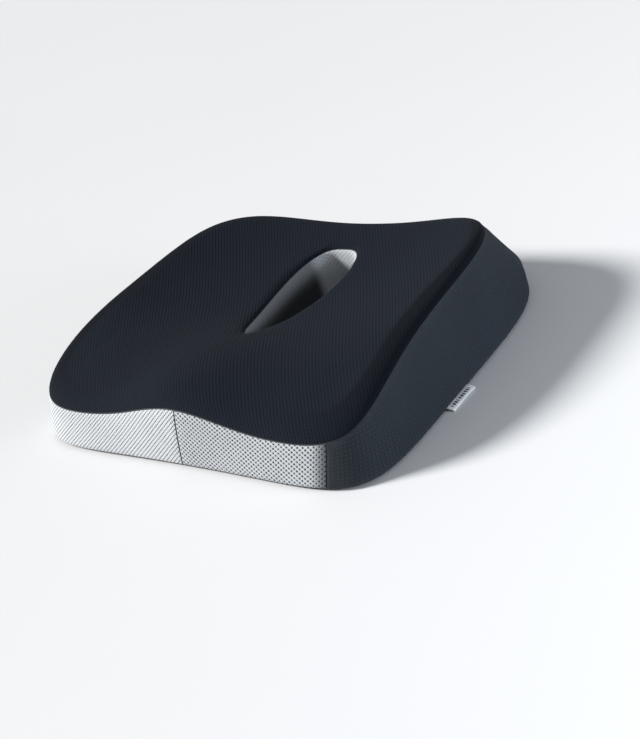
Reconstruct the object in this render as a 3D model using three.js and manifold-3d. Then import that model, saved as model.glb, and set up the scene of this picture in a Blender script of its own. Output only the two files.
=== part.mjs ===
// Wedge seat cushion with a tailbone hole: a moulded foam core in a knit liner, inside a sewn cover
// with a zip. Millimetres. +X is the sitter's right, +Y the back of the seat, +Z up, and the origin is
// the centre of the base.
import * as THREE from "three";
import { RoundedBoxGeometry } from "three/addons/geometries/RoundedBoxGeometry.js";
import { mergeVertices } from "three/addons/utils/BufferGeometryUtils.js";
import Module from "manifold-3d";

const wasm = await Module();
wasm.setup();

// Plan of the base, and how far the top seam lies inside it.
const halfWidth = 225;
const frontY = -200;
const backY = 200;
const frontSquareness = 6.5;
const backSquareness = 4.2;
const baseTaper = -0.025;
const seamTaper = -0.06;
const frontScoop = 10;
const sideDraft = 16;
const frontDraft = 11;
const backDraft = 22;

// Height of the seat along its middle and along its sides, at five even steps from front to back.
const middleHeights = [50, 67, 60, 63, 72];
const sideHeights = [47, 84, 101, 107, 120];
const saddleCurve = 2.1;
const pommelHeight = 19;
const pommelWidth = 75;
const pommelLength = 200;

// The tailbone hole: a teardrop with its tip to the front.
const holeFront = -50;
const holeBack = 121;
const holeHalfWidth = 32;
const holeLean = 1.82;
const holeBluntness = 0.3;

// Roundings. The roll-over above the top seam gets narrower towards the back.
const baseEdgeRadius = 6;
const rollFront = 21;
const rollBack = 10;
const rollHeight = 12;
const rimRadius = 6;
const footRadius = 6;

// Layers, counted inwards from the outside of the cover, and the gap between pieces that touch.
const coverThickness = 2.4;
const linerThickness = 0.7;
const layerGap = 0.3;
const linerGap = 0.6;

// The zip lies on a flat, upright stretch of the back wall, in a window in the band.
const zipPlaneY = 192;
const zipPlaneBlend = 2;
const uprightTop = 32;
const zipZ = 18;
const windowHalfLength = 130;
const windowHalfHeight = 6;
const tapeThickness = 0.6;
const tapeWidth = 9;
const tapeHalfLength = 134;
const chainHalfGap = 0.6;
const coilWidth = 2;
const coilThickness = 1.8;
const stopLength = 3;
const zipRecess = 2.6;
const zipRecessHalfHeight = 10;

// Slider and pull.
const sliderLength = 14;
const sliderHalfHeight = 4.2;
const plateThickness = 1.2;
const flangeThickness = 1;
const postLength = 4;
const bridgeHalfLength = 4;
const bridgeHalfWidth = 1.3;
const bridgeHeight = 3.2;
const bridgeBar = 1;
const hingeLift = 1.3;
const pullLength = 30;
const pullHalfWidth = 3.2;
const pullThickness = 1.4;
const pullArmLength = 6;
const crossbarRadius = 0.6;
const eyeRadius = 0.9;
const eyeletRadius = 1.5;

// The label folded into the base seam on the right.
const labelCentreY = -36;
const labelLength = 39;
const labelReach = 5.5;
const labelThickness = 1;
const labelDrop = 2.2;

const degrees = Math.PI / 180;

// ---- master surface ----

function smoothstep(t) {
  const u = THREE.MathUtils.clamp(t, 0, 1);
  return u * u * (3 - 2 * u);
}

// A natural cubic spline through evenly spaced values, as a function of 0 to 1.
function evenSpline(values) {
  const last = values.length - 1;
  const bend = new Array(last + 1).fill(0);
  for (let sweep = 0; sweep < 60; sweep += 1) {
    for (let i = 1; i < last; i += 1) {
      bend[i] = (6 * (values[i - 1] - 2 * values[i] + values[i + 1]) - bend[i - 1] - bend[i + 1]) / 4;
    }
  }
  return (t) => {
    const i = THREE.MathUtils.clamp(Math.floor(t * last), 0, last - 1);
    const b = t * last - i;
    const a = 1 - b;
    const cubic = ((a ** 3 - a) * bend[i] + (b ** 3 - b) * bend[i + 1]) / 6;
    return a * values[i] + b * values[i + 1] + cubic;
  };
}

const middleHeight = evenSpline(middleHeights);
const sideHeight = evenSpline(sideHeights);

// Height of the seat above the base at a point of the plan.
function topHeight(x, y) {
  const along = (y - frontY) / (backY - frontY);
  const saddle = Math.abs(x / halfWidth) ** saddleCurve;
  const pommelFade = 1 - smoothstep((y - frontY) / pommelLength);
  const pommel = pommelHeight * Math.exp(-((x / pommelWidth) ** 2)) * pommelFade;
  return THREE.MathUtils.lerp(middleHeight(along), sideHeight(along), saddle) + pommel;
}

// A rounded-square ring in plan. The angle runs anticlockwise from +X, and draft says how far each side
// is pulled in.
function ring(angle, draft, taper) {
  const c = Math.cos(angle);
  const s = Math.sin(angle);
  const power = s < 0 ? frontSquareness : backSquareness;
  const reach = (Math.abs(c) ** power + Math.abs(s) ** power) ** (-1 / power);
  const width = halfWidth - draft.side;
  const low = frontY + draft.front;
  const high = backY - draft.back;
  const x = width * reach * c * (1 + taper * reach * s);
  const scoop = frontScoop * Math.cos((Math.PI * x) / (2.4 * width)) * Math.max(0, -reach * s);
  return { x, y: (low + high) / 2 + ((high - low) / 2) * reach * s + scoop };
}

// The base ring, cut off flat at the zip plane with a short blend into the corners.
function baseRing(angle, inset) {
  const p = ring(angle, { side: inset, front: inset, back: inset }, baseTaper);
  const plane = zipPlaneY - inset;
  const short = plane - p.y;
  if (short <= -zipPlaneBlend) p.y = plane;
  else if (short < zipPlaneBlend) p.y = plane - (short + zipPlaneBlend) ** 2 / (4 * zipPlaneBlend);
  return p;
}

// How wide the roll-over is, in plan.
function rollInset(angle) {
  return THREE.MathUtils.lerp(rollFront, rollBack, smoothstep((Math.sin(angle) + 0.08) / 0.68));
}

// A ring of the seat, inset from the top seam.
function seatRing(angle, inset) {
  const draft = { side: sideDraft + inset, front: frontDraft + inset, back: backDraft + inset };
  return ring(angle, draft, seamTaper);
}

// The teardrop, grown outwards.
function holeRing(angle, grow) {
  const s = (1 + Math.sin(angle)) / 2;
  const swell = Math.max(0, Math.sin(Math.PI * s ** holeLean)) ** holeBluntness;
  const x = Math.sign(Math.cos(angle)) * (holeHalfWidth + grow) * swell;
  return { x, y: THREE.MathUtils.lerp(holeFront - grow, holeBack + grow, s) };
}

function mix(p, q, t) {
  return { x: THREE.MathUtils.lerp(p.x, q.x, t), y: THREE.MathUtils.lerp(p.y, q.y, t) };
}

// A point of the cover's outside. The station runs round the section of the ring-shaped body: 0 to 1 is
// the flat base, 1 to 2 its edge, 2 to 3 the wall, 3 to 4 the roll-over, 4 to 5 the seat, 5 to 6 the hole's
// rim, 6 to 7 its wall and 7 to 8 its foot, where 8 is 0 again.
function surfacePoint(angle, station) {
  const wrapped = station < 0 ? station + 8 : station;
  const zone = Math.min(7, Math.floor(wrapped));
  const t = wrapped - zone;
  const quarter = (t * Math.PI) / 2;
  const seam = seatRing(angle, 0);
  const seamZ = topHeight(seam.x, seam.y) - rollHeight;
  if (zone === 0) {
    const p = mix(holeRing(angle, footRadius), baseRing(angle, baseEdgeRadius), t);
    return new THREE.Vector3(p.x, p.y, 0);
  }
  if (zone === 1) {
    const p = mix(baseRing(angle, baseEdgeRadius), baseRing(angle, 0), Math.sin(quarter));
    return new THREE.Vector3(p.x, p.y, baseEdgeRadius * (1 - Math.cos(quarter)));
  }
  if (zone === 2) {
    const low = THREE.MathUtils.lerp(baseEdgeRadius, uprightTop, Math.min(1, 2 * t));
    const z = t < 0.5 ? low : THREE.MathUtils.lerp(uprightTop, seamZ, 2 * t - 1);
    const upright = smoothstep((Math.sin(angle) - 0.45) / 0.3);
    const knee = THREE.MathUtils.lerp(baseEdgeRadius, uprightTop, upright);
    const p = mix(baseRing(angle, 0), seam, Math.max(0, (z - knee) / (seamZ - knee)));
    return new THREE.Vector3(p.x, p.y, z);
  }
  if (zone === 3) {
    const p = seatRing(angle, rollInset(angle) * (1 - Math.cos(quarter)));
    return new THREE.Vector3(p.x, p.y, topHeight(p.x, p.y) - rollHeight * (1 - Math.sin(quarter)));
  }
  if (zone === 4) {
    const p = mix(seatRing(angle, rollInset(angle)), holeRing(angle, rimRadius), t);
    return new THREE.Vector3(p.x, p.y, topHeight(p.x, p.y));
  }
  const rim = zone === 5 ? holeRing(angle, rimRadius * (1 - Math.sin(quarter))) : holeRing(angle, 0);
  const rimZ = topHeight(rim.x, rim.y) - rimRadius;
  if (zone === 5) return new THREE.Vector3(rim.x, rim.y, rimZ + rimRadius * Math.cos(quarter));
  if (zone === 6) return new THREE.Vector3(rim.x, rim.y, THREE.MathUtils.lerp(rimZ, footRadius, t));
  const foot = holeRing(angle, footRadius * (1 - Math.cos(quarter)));
  return new THREE.Vector3(foot.x, foot.y, footRadius * (1 - Math.sin(quarter)));
}

// The outward normal, averaged over a short stretch of the section so that it turns evenly at a crease.
function surfaceNormal(angle, station) {
  const step = 0.01;
  const normal = new THREE.Vector3();
  for (const shift of [-0.05, 0, 0.05]) {
    const here = station + shift;
    const round = surfacePoint(angle + step, here).sub(surfacePoint(angle - step, here));
    const across = surfacePoint(angle, here + step).sub(surfacePoint(angle, here - step));
    normal.add(round.cross(across).normalize());
  }
  return normal.normalize();
}

// A point at a depth below the cover's outside.
function layerPoint(angle, station, depth) {
  return surfacePoint(angle, station).addScaledVector(surfaceNormal(angle, station), -depth);
}

// ---- grid lines ----

// The station on the wall at a height within its upright stretch.
function wallStation(z) {
  return 2 + (0.5 * (z - baseEdgeRadius)) / (uprightTop - baseEdgeRadius);
}

// The angle at which the base ring reaches a given x on its back side.
function backAngle(x) {
  let low = 30 * degrees;
  let high = 90 * degrees;
  for (let i = 0; i < 40; i += 1) {
    const middle = (low + high) / 2;
    if (baseRing(middle, 0).x > x) low = middle;
    else high = middle;
  }
  return low;
}

const frontCentre = -90 * degrees;
const frontCorner = -50 * degrees;
const backCorner = 42 * degrees;
const windowEnd = backAngle(windowHalfLength);
const tapeEnd = backAngle(tapeHalfLength + 1);
const recessEnd = backAngle(windowHalfLength + 18);
const seamAngle = 0.05 * degrees;

const angles = {
  front: [-80, -70, -60].map((a) => a * degrees),
  side: [-44, -36, -28, -18, -4, 10, 24, 34].map((a) => a * degrees),
  back: [49 * degrees, recessEnd, tapeEnd, windowEnd, 69 * degrees, 80 * degrees],
};

function mirrored(list) {
  return list.map((a) => Math.PI - a).reverse();
}

// Every column once round, from the front's centre anticlockwise.
const rightHalf = [...angles.front, frontCorner, ...angles.side, backCorner, ...angles.back];
const fullTurn = [frontCentre, ...rightHalf, Math.PI / 2, ...mirrored(rightHalf)];

function between(start, end, inner) {
  return [start + seamAngle, ...inner, end - seamAngle];
}

const rows = {
  wall: [12, 24, 28, 32].map(wallStation),
  roll: [3 + 1 / 3, 3 + 2 / 3],
  seat: [4, 4.2, 4.4, 4.6, 4.8, 5],
};
const baseSeam = 1.63;
const rimSeam = 5.5;
const footSeam = 7.9;
const seamStep = 0.03;
const bandTop = 2.995;
const seatStart = 3.01;
const midLow = wallStation(zipZ - layerGap / 2);
const midHigh = wallStation(zipZ + layerGap / 2);
const recessLow = wallStation(zipZ - zipRecessHalfHeight);
const recessHigh = wallStation(zipZ + zipRecessHalfHeight);

// ---- building with the grid ----

function meshFrom(points, triangles) {
  const geometry = new THREE.BufferGeometry();
  geometry.setAttribute("position", new THREE.Float32BufferAttribute(points.flatMap((p) => p.toArray()), 3));
  geometry.setIndex(triangles);
  return geometry;
}

// A closed layer between two depths over a grid of columns and rows. Open edges, and the edges of cells
// that keep() drops, are closed with a wall. round says that the columns close on themselves, and loop
// that the rows do.
function layer({ columns, stations, outer, inner, round = false, loop = false, keep = () => true }) {
  const wide = columns.length;
  const tall = stations.length;
  const points = [];
  for (const depth of [outer, inner]) {
    for (const station of stations) {
      for (const angle of columns) {
        const d = typeof depth === "function" ? depth(angle, station) : depth;
        points.push(layerPoint(angle, station, d));
      }
    }
  }
  const at = (side, i, j) => side * wide * tall + (j % tall) * wide + (i % wide);
  const cellsWide = round ? wide : wide - 1;
  const cellsTall = loop ? tall : tall - 1;
  const kept = (i, j) => {
    const column = round ? (i + wide) % wide : i;
    const row = loop ? (j + tall) % tall : j;
    if (column < 0 || row < 0 || column >= cellsWide || row >= cellsTall) return false;
    const nextColumn = (column + 1) % wide;
    const nextRow = (row + 1) % tall;
    return keep(columns[column], columns[nextColumn], stations[row], stations[nextRow]);
  };
  const triangles = [];
  const quad = (a, b, c, d) => triangles.push(a, b, c, a, c, d);
  for (let j = 0; j < cellsTall; j += 1) {
    for (let i = 0; i < cellsWide; i += 1) {
      if (!kept(i, j)) continue;
      quad(at(0, i, j), at(0, i + 1, j), at(0, i + 1, j + 1), at(0, i, j + 1));
      triangles.push(at(1, i, j), at(1, i + 1, j + 1), at(1, i + 1, j));
      triangles.push(at(1, i, j), at(1, i, j + 1), at(1, i + 1, j + 1));
      if (!kept(i, j - 1)) quad(at(0, i, j), at(1, i, j), at(1, i + 1, j), at(0, i + 1, j));
      if (!kept(i + 1, j)) {
        quad(at(0, i + 1, j), at(1, i + 1, j), at(1, i + 1, j + 1), at(0, i + 1, j + 1));
      }
      if (!kept(i, j + 1)) {
        quad(at(0, i + 1, j + 1), at(1, i + 1, j + 1), at(1, i, j + 1), at(0, i, j + 1));
      }
      if (!kept(i - 1, j)) quad(at(0, i, j + 1), at(1, i, j + 1), at(1, i, j), at(0, i, j));
    }
  }
  const used = [...new Set(triangles)].sort((a, b) => a - b);
  const renumbered = new Map(used.map((old, index) => [old, index]));
  return meshFrom(used.map((old) => points[old]), triangles.map((old) => renumbered.get(old)));
}

// The whole ring-shaped body as one closed skin at a depth.
function solidRing(columns, stations, depth) {
  const wide = columns.length;
  const tall = stations.length;
  const rowOf = (station) => columns.map((angle) => layerPoint(angle, station, depth(angle, station)));
  const points = stations.flatMap(rowOf);
  const at = (i, j) => (j % tall) * wide + (i % wide);
  const triangles = [];
  for (let j = 0; j < tall; j += 1) {
    for (let i = 0; i < wide; i += 1) {
      triangles.push(at(i, j), at(i + 1, j), at(i + 1, j + 1), at(i, j), at(i + 1, j + 1), at(i, j + 1));
    }
  }
  return meshFrom(points, triangles);
}

// ---- joining and cutting ----

function toSolid(geometry) {
  const plain = geometry.clone();
  plain.deleteAttribute("normal");
  plain.deleteAttribute("uv");
  const merged = mergeVertices(plain, 1e-4);
  const vertProperties = merged.attributes.position.array;
  const triVerts = new Uint32Array(merged.index.array);
  return new wasm.Manifold(new wasm.Mesh({ numProp: 3, vertProperties, triVerts }));
}

function toGeometry(solid) {
  const made = solid.getMesh();
  const geometry = new THREE.BufferGeometry();
  geometry.setAttribute("position", new THREE.BufferAttribute(Float32Array.from(made.vertProperties), 3));
  geometry.setIndex(new THREE.BufferAttribute(Uint32Array.from(made.triVerts), 1));
  return geometry;
}

// A box between two corners.
function box(x0, x1, y0, y1, z0, z1) {
  const geometry = new THREE.BoxGeometry(x1 - x0, y1 - y0, z1 - z0);
  return geometry.translate((x0 + x1) / 2, (y0 + y1) / 2, (z0 + z1) / 2);
}

function joined(...geometries) {
  return toGeometry(geometries.map(toSolid).reduce((whole, part) => whole.add(part)));
}

// ---- soft pieces ----

const linerDepth = coverThickness + linerGap;
const foamDepth = linerDepth + linerThickness + linerGap;

// How much deeper the liner and the foam lie behind the zip.
function recess(angle, station) {
  const behind = angle > tapeEnd - 1e-6 && angle < Math.PI - tapeEnd + 1e-6;
  return behind && station > recessLow - 1e-6 && station < recessHigh + 1e-6 ? zipRecess : 0;
}

const innerStations = [
  ...[0, 1, 1.5, 2, recessLow, recessHigh, wallStation(uprightTop), 2.75, 3],
  ...[...rows.roll, ...rows.seat, 5.5, 6, 7, 7.5],
];

function foamCore() {
  return solidRing(fullTurn, innerStations, (angle, station) => foamDepth + recess(angle, station));
}

// The knit liner, slit above the zip where the foam goes in.
function innerLiner() {
  const slitEnd = 69 * degrees;
  return layer({
    columns: fullTurn,
    stations: innerStations,
    round: true,
    loop: true,
    outer: (angle, station) => linerDepth + recess(angle, station),
    inner: (angle, station) => linerDepth + linerThickness + recess(angle, station),
    keep: (a0, a1, s0) => {
      const inSlit = a0 > slitEnd - 1e-6 && a1 < Math.PI - slitEnd + 1e-6;
      return !(inSlit && Math.abs(s0 - recessHigh) < 1e-6);
    },
  });
}

function coverPanel(columns, stations, extra = {}) {
  return layer({ columns, stations, outer: 0, inner: coverThickness, ...extra });
}

function topPanel() {
  const stations = [seatStart, ...rows.roll, ...rows.seat, rimSeam - seamStep];
  return coverPanel(fullTurn, stations, { round: true });
}

function holeLining() {
  return coverPanel(fullTurn, [rimSeam + seamStep, 6, 7, 7.5, footSeam - seamStep], { round: true });
}

function bottomPanel() {
  const stations = [footSeam + seamStep - 8, 0, 1, 1.3, baseSeam - seamStep];
  return coverPanel(fullTurn, stations, { round: true });
}

const bandStations = [baseSeam + seamStep, 2, ...rows.wall, 2.75, bandTop];

function frontBandRight() {
  return coverPanel(between(frontCentre, frontCorner, angles.front), bandStations);
}

// On the left the front band goes on round the corner.
const leftCorner = Math.PI - angles.side[1];
const leftFront = mirrored([...angles.front, frontCorner, angles.side[0]]);
const leftSide = mirrored(angles.side.slice(2));

function frontBandLeft() {
  const columns = between(leftCorner, Math.PI - frontCentre, leftFront);
  return coverPanel(columns, bandStations);
}

function sideBandRight() {
  return coverPanel(between(frontCorner, backCorner, angles.side), bandStations);
}

function sideBandLeft() {
  const columns = between(Math.PI - backCorner, leftCorner, leftSide);
  return coverPanel(columns, bandStations);
}

const acrossBack = [...angles.back, Math.PI / 2, ...mirrored(angles.back)];
const backColumns = between(backCorner, Math.PI - backCorner, acrossBack);

function overWindow(a0, a1) {
  return a0 > windowEnd - 1e-6 && a1 < Math.PI - windowEnd + 1e-6;
}

function backBandUpper() {
  const windowTop = wallStation(zipZ + windowHalfHeight);
  const stations = [midHigh, windowTop, ...rows.wall.slice(2), 2.75, bandTop];
  return coverPanel(backColumns, stations, {
    keep: (a0, a1, s0, s1) => !(overWindow(a0, a1) && s1 < windowTop + 1e-6),
  });
}

function backBandLower() {
  const windowBottom = wallStation(zipZ - windowHalfHeight);
  return coverPanel(backColumns, [baseSeam + seamStep, 2, windowBottom, midLow], {
    keep: (a0, a1, s0) => !(overWindow(a0, a1) && s0 > windowBottom - 1e-6),
  });
}

function sideLabel() {
  const wall = surfacePoint(-20 * degrees, 2).x + layerGap;
  const seamZ = surfacePoint(-20 * degrees, baseSeam).z;
  const outline = new THREE.Shape([
    new THREE.Vector2(wall, seamZ),
    new THREE.Vector2(wall + labelReach, seamZ - labelDrop),
    new THREE.Vector2(wall + labelReach, seamZ - labelDrop + labelThickness),
    new THREE.Vector2(wall, seamZ + labelThickness),
  ]);
  const geometry = new THREE.ExtrudeGeometry(outline, { depth: labelLength, bevelEnabled: false });
  return geometry.rotateX(Math.PI / 2).translate(0, labelCentreY + labelLength / 2, 0);
}

// ---- zip ----

const tapeFace = zipPlaneY - coverThickness - layerGap;
const coilBack = tapeFace + layerGap;
const coilFront = coilBack + coilThickness;
const coilHalfLength = windowHalfLength - stopLength - 2 * layerGap;

// side is 1 for the upper half of the zip and -1 for the lower.
function zipTape(side) {
  const geometry = box(-tapeHalfLength, tapeHalfLength, -tapeThickness, 0, 0, tapeWidth);
  if (side < 0) geometry.translate(0, 0, -tapeWidth);
  return geometry.translate(0, tapeFace, zipZ + side * chainHalfGap);
}

function zipCoil(side) {
  const centre = zipZ + side * (chainHalfGap + coilWidth / 2);
  const geometry = new RoundedBoxGeometry(2 * coilHalfLength, coilThickness, coilWidth, 1, 0.5);
  return geometry.translate(0, (coilBack + coilFront) / 2, centre);
}

function zipStop(side) {
  const height = 2 * (chainHalfGap + coilWidth);
  const geometry = new RoundedBoxGeometry(stopLength, coilThickness + 0.6, height, 2, 0.6);
  const x = side * (windowHalfLength - layerGap - stopLength / 2);
  return geometry.translate(x, coilBack + (coilThickness + 0.6) / 2, zipZ);
}

const sliderStart = -(coilHalfLength - layerGap - sliderLength / 2);
const plateBack = coilFront + layerGap;
const plateFront = plateBack + plateThickness;
const hingeY = plateFront + hingeLift;

// A plate with rounded corners, in the plane of the zip.
function sliderPlate(y0, y1) {
  const half = sliderLength / 2;
  const corner = 2;
  const outline = new THREE.Shape();
  outline.moveTo(-half + corner, -sliderHalfHeight);
  outline.lineTo(half - corner, -sliderHalfHeight);
  outline.absarc(half - corner, -sliderHalfHeight + corner, corner, -Math.PI / 2, 0);
  outline.absarc(half - corner, sliderHalfHeight - corner, corner, 0, Math.PI / 2);
  outline.absarc(-half + corner, sliderHalfHeight - corner, corner, Math.PI / 2, Math.PI);
  outline.absarc(-half + corner, -sliderHalfHeight + corner, corner, Math.PI, 1.5 * Math.PI);
  const depth = y1 - y0;
  const geometry = new THREE.ExtrudeGeometry(outline, { depth, bevelEnabled: false, curveSegments: 4 });
  return geometry.rotateX(Math.PI / 2).translate(0, y1, 0);
}

function sliderFlange(side) {
  const half = sliderLength / 2 - 2;
  const outer = side * sliderHalfHeight;
  const inner = side * (sliderHalfHeight - flangeThickness);
  return box(-half, half, coilBack, plateBack + 0.1, Math.min(outer, inner), Math.max(outer, inner));
}

// An arch over the plate, under which the pull's crossbar turns.
function sliderBridge() {
  const top = plateFront + bridgeHeight;
  const bar = (x0, x1, y0) => box(x0, x1, y0, top, -bridgeHalfWidth, bridgeHalfWidth);
  const beam = bar(-bridgeHalfLength, bridgeHalfLength, top - bridgeBar);
  const leftLeg = bar(-bridgeHalfLength, -bridgeHalfLength + bridgeBar, plateFront - 0.1);
  const rightLeg = bar(bridgeHalfLength - bridgeBar, bridgeHalfLength, plateFront - 0.1);
  return joined(beam, leftLeg, rightLeg);
}

function sliderBody() {
  const tapeBack = tapeFace - tapeThickness;
  const innerFront = tapeBack - layerGap;
  const postStart = -sliderLength / 2 + 0.6;
  const postEnd = postStart + postLength;
  const post = box(postStart, postEnd, innerFront - 0.1, plateBack + 0.1, -layerGap, layerGap);
  return joined(
    sliderPlate(plateBack, plateFront),
    sliderPlate(innerFront - plateThickness, innerFront),
    sliderFlange(1),
    sliderFlange(-1),
    post,
    sliderBridge(),
  ).translate(sliderStart, 0, zipZ);
}

// A rod along Z, centred.
function rod(radius, length) {
  return new THREE.CylinderGeometry(radius, radius, length, 16).rotateX(Math.PI / 2);
}

// The pull lies along the chain: two arms beside the bridge, a crossbar under it, and a tab with a
// rounded end.
function pullTab() {
  const armInner = bridgeHalfWidth + 0.4;
  const half = pullThickness / 2;
  const arm = (z0, z1) => {
    const bar = box(0, pullArmLength + 0.5, -half, half, z0, z1);
    return joined(bar, rod(eyeRadius, z1 - z0).translate(0, 0, (z0 + z1) / 2));
  };
  const crossbar = rod(crossbarRadius, 2 * armInner + 0.4);
  const tab = new THREE.Shape();
  tab.moveTo(pullArmLength, -pullHalfWidth);
  tab.lineTo(pullLength - pullHalfWidth, -pullHalfWidth);
  tab.absarc(pullLength - pullHalfWidth, 0, pullHalfWidth, -Math.PI / 2, Math.PI / 2);
  tab.lineTo(pullArmLength, pullHalfWidth);
  const eyelet = new THREE.Path();
  eyelet.absarc(pullLength - pullHalfWidth, 0, eyeletRadius, 0, 2 * Math.PI, true);
  tab.holes.push(eyelet);
  const depth = pullThickness;
  const flat = new THREE.ExtrudeGeometry(tab, { depth, bevelEnabled: false, curveSegments: 8 });
  flat.rotateX(Math.PI / 2).translate(0, half, 0);
  const arms = joined(arm(armInner, pullHalfWidth), arm(-pullHalfWidth, -armInner));
  return joined(arms, crossbar, flat).translate(sliderStart, hingeY, zipZ);
}

// ---- finishes and assembly ----

function finish(color, roughness, metalness = 0) {
  return new THREE.MeshStandardMaterial({ color, roughness, metalness });
}

const finishes = {
  foam: finish(0xe9e2cf, 0.95),
  liner: finish(0xd9dbdd, 0.9),
  navyKnit: finish(0x1e2329, 0.9),
  greyMesh: finish(0xb0b3b8, 0.85),
  charcoalKnit: finish(0x30363b, 0.9),
  baseCloth: finish(0x17181a, 0.9),
  tape: finish(0x202327, 0.85),
  coil: finish(0x1a1c1f, 0.45),
  zipMetal: finish(0x2a2c2f, 0.35, 0.8),
  label: finish(0xcdccca, 0.7),
};

const pieces = [
  ["foam_core", foamCore(), finishes.foam],
  ["inner_liner", innerLiner(), finishes.liner],
  ["top_panel", topPanel(), finishes.navyKnit],
  ["front_band_left", frontBandLeft(), finishes.greyMesh],
  ["front_band_right", frontBandRight(), finishes.greyMesh],
  ["side_band_left", sideBandLeft(), finishes.charcoalKnit],
  ["side_band_right", sideBandRight(), finishes.charcoalKnit],
  ["back_band_upper", backBandUpper(), finishes.charcoalKnit],
  ["back_band_lower", backBandLower(), finishes.charcoalKnit],
  ["hole_lining", holeLining(), finishes.greyMesh],
  ["bottom_panel", bottomPanel(), finishes.baseCloth],
  ["side_label", sideLabel(), finishes.label],
  ["zip_tape_upper", zipTape(1), finishes.tape],
  ["zip_tape_lower", zipTape(-1), finishes.tape],
  ["zip_coil_upper", zipCoil(1), finishes.coil],
  ["zip_coil_lower", zipCoil(-1), finishes.coil],
  ["zip_stop_left", zipStop(-1), finishes.zipMetal],
  ["zip_stop_right", zipStop(1), finishes.zipMetal],
  ["zip_slider_body", sliderBody(), finishes.zipMetal],
  ["zip_pull_tab", pullTab(), finishes.zipMetal],
];

const group = new THREE.Group();
for (const [name, geometry, material] of pieces) {
  const mesh = new THREE.Mesh(geometry, material);
  mesh.name = name;
  group.add(mesh);
}

export default group;
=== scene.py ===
import math

import bmesh
import bpy
import numpy as np
from mathutils import Matrix, Vector


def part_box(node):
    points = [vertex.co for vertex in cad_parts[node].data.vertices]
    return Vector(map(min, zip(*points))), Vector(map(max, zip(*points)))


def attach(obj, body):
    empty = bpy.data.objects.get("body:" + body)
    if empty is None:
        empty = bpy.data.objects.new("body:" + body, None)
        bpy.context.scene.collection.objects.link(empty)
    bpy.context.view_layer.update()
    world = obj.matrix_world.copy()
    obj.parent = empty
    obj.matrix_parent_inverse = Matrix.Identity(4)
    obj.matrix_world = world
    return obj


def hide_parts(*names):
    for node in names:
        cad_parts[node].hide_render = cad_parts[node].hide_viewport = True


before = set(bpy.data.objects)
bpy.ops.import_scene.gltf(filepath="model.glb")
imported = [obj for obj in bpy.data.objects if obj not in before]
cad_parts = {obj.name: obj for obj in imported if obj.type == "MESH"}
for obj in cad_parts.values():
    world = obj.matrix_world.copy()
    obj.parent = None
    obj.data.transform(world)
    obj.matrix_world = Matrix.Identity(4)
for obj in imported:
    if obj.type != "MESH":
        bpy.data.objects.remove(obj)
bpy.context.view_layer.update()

# Looks of the seat cushion: a moulded foam core in a knit liner, inside a sewn cover with a zip at the back.
# Everything below is worked out in millimetres and turned to metres when a mesh is made.
mm = 0.001
print("frame loaded:", len(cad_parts), "nodes")

cushionShape = {
    "halfWidth": 225, "frontY": -200, "backY": 200,     # plan of the base
    "frontSquareness": 6.5, "backSquareness": 4.2,      # how square the corners are
    "baseTaper": -0.025, "seamTaper": -0.06,            # narrower towards the back
    "frontScoop": 10,                                   # hollow of the front edge
    "sideDraft": 16, "frontDraft": 11, "backDraft": 22,  # how far the top seam lies inside the base
    "middleHeights": (50, 67, 60, 63, 72),              # along the middle, front to back
    "sideHeights": (47, 84, 101, 107, 120),             # along the sides
    "saddleCurve": 2.1,
    "pommelHeight": 19, "pommelWidth": 75, "pommelLength": 200,
    "baseEdge": 6, "rimRadius": 6, "footRadius": 6,
    "rollFront": 21, "rollBack": 10, "rollHeight": 12,   # the roll-over gets narrower towards the back
    "rollSpan": (-0.08, 0.6),         # sines of the angles between which it does
    "zipPlane": 192, "zipPlaneBlend": 2, "uprightTop": 32,
    "uprightSpan": (0.45, 0.75),      # sines between which the wall's foot becomes upright
}
holeShape = {"front": -50, "back": 121, "halfWidth": 32, "lean": 1.82, "bluntness": 0.3}
coverCloth = {
    "thickness": 2.4,      # of the cover's panels
    "edgeRadius": 1.1,     # of a panel's turned edge
    "seamGap": 0.2,        # from a panel's edge to its seam
    "valleyDepth": 0.75, "sideValleyDepth": 0.45,   # how deep a seam pulls the cloth in
    "valleyWidth": 3.6,
    "puckerHeight": 0.16,  # gathers along a seam
    "puckerLength": 11, "puckerReach": 5,
    "pitch": 2.6,          # grid of a finished panel
    "gripHeight": 0.4,     # the base stands on its grip dots
    "leastThickness": 0.3,
}
edgeSteps = (0, 0.15, 0.4, 0.8, 1.4, 2.3, 3.6)
seams = {
    "base": 1.63, "top": 3.0, "rim": 5.5, "foot": 7.9,
    "frontCentre": (-90, -88.4),   # angle at the base and at the top seam, degrees
    "frontRight": (-51.4, -48.6), "frontLeft": (216, 216),   # on the left it lies round the corner
    "backRight": (42, 42), "backLeft": (138, 138),
}
zipPlace = {
    "z": 18, "halfLength": 130, "halfHeight": 6, "gap": 0.15,
    "recess": 2.6, "recessHalfLength": 139, "recessHalfHeight": 10,
}


def smoothstep(t):
    u = np.clip(t, 0, 1)
    return u * u * (3 - 2 * u)


def spanShare(value, span):
    return smoothstep((value - span[0]) / (span[1] - span[0]))


def lerp(a, b, t):
    return a + (b - a) * t


def evenSpline(values, t):
    # a natural cubic spline through evenly spaced values
    last = len(values) - 1
    bend = np.zeros(last + 1)
    for sweep in range(60):   # enough for the bends to settle
        for i in range(1, last):
            second = values[i - 1] - 2 * values[i] + values[i + 1]
            bend[i] = (6 * second - bend[i - 1] - bend[i + 1]) / 4
    i = np.clip(np.floor(t * last).astype(int), 0, last - 1)
    b = t * last - i
    a = 1 - b
    v = np.array(values, float)
    return a * v[i] + b * v[i + 1] + ((a ** 3 - a) * bend[i] + (b ** 3 - b) * bend[i + 1]) / 6


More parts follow.
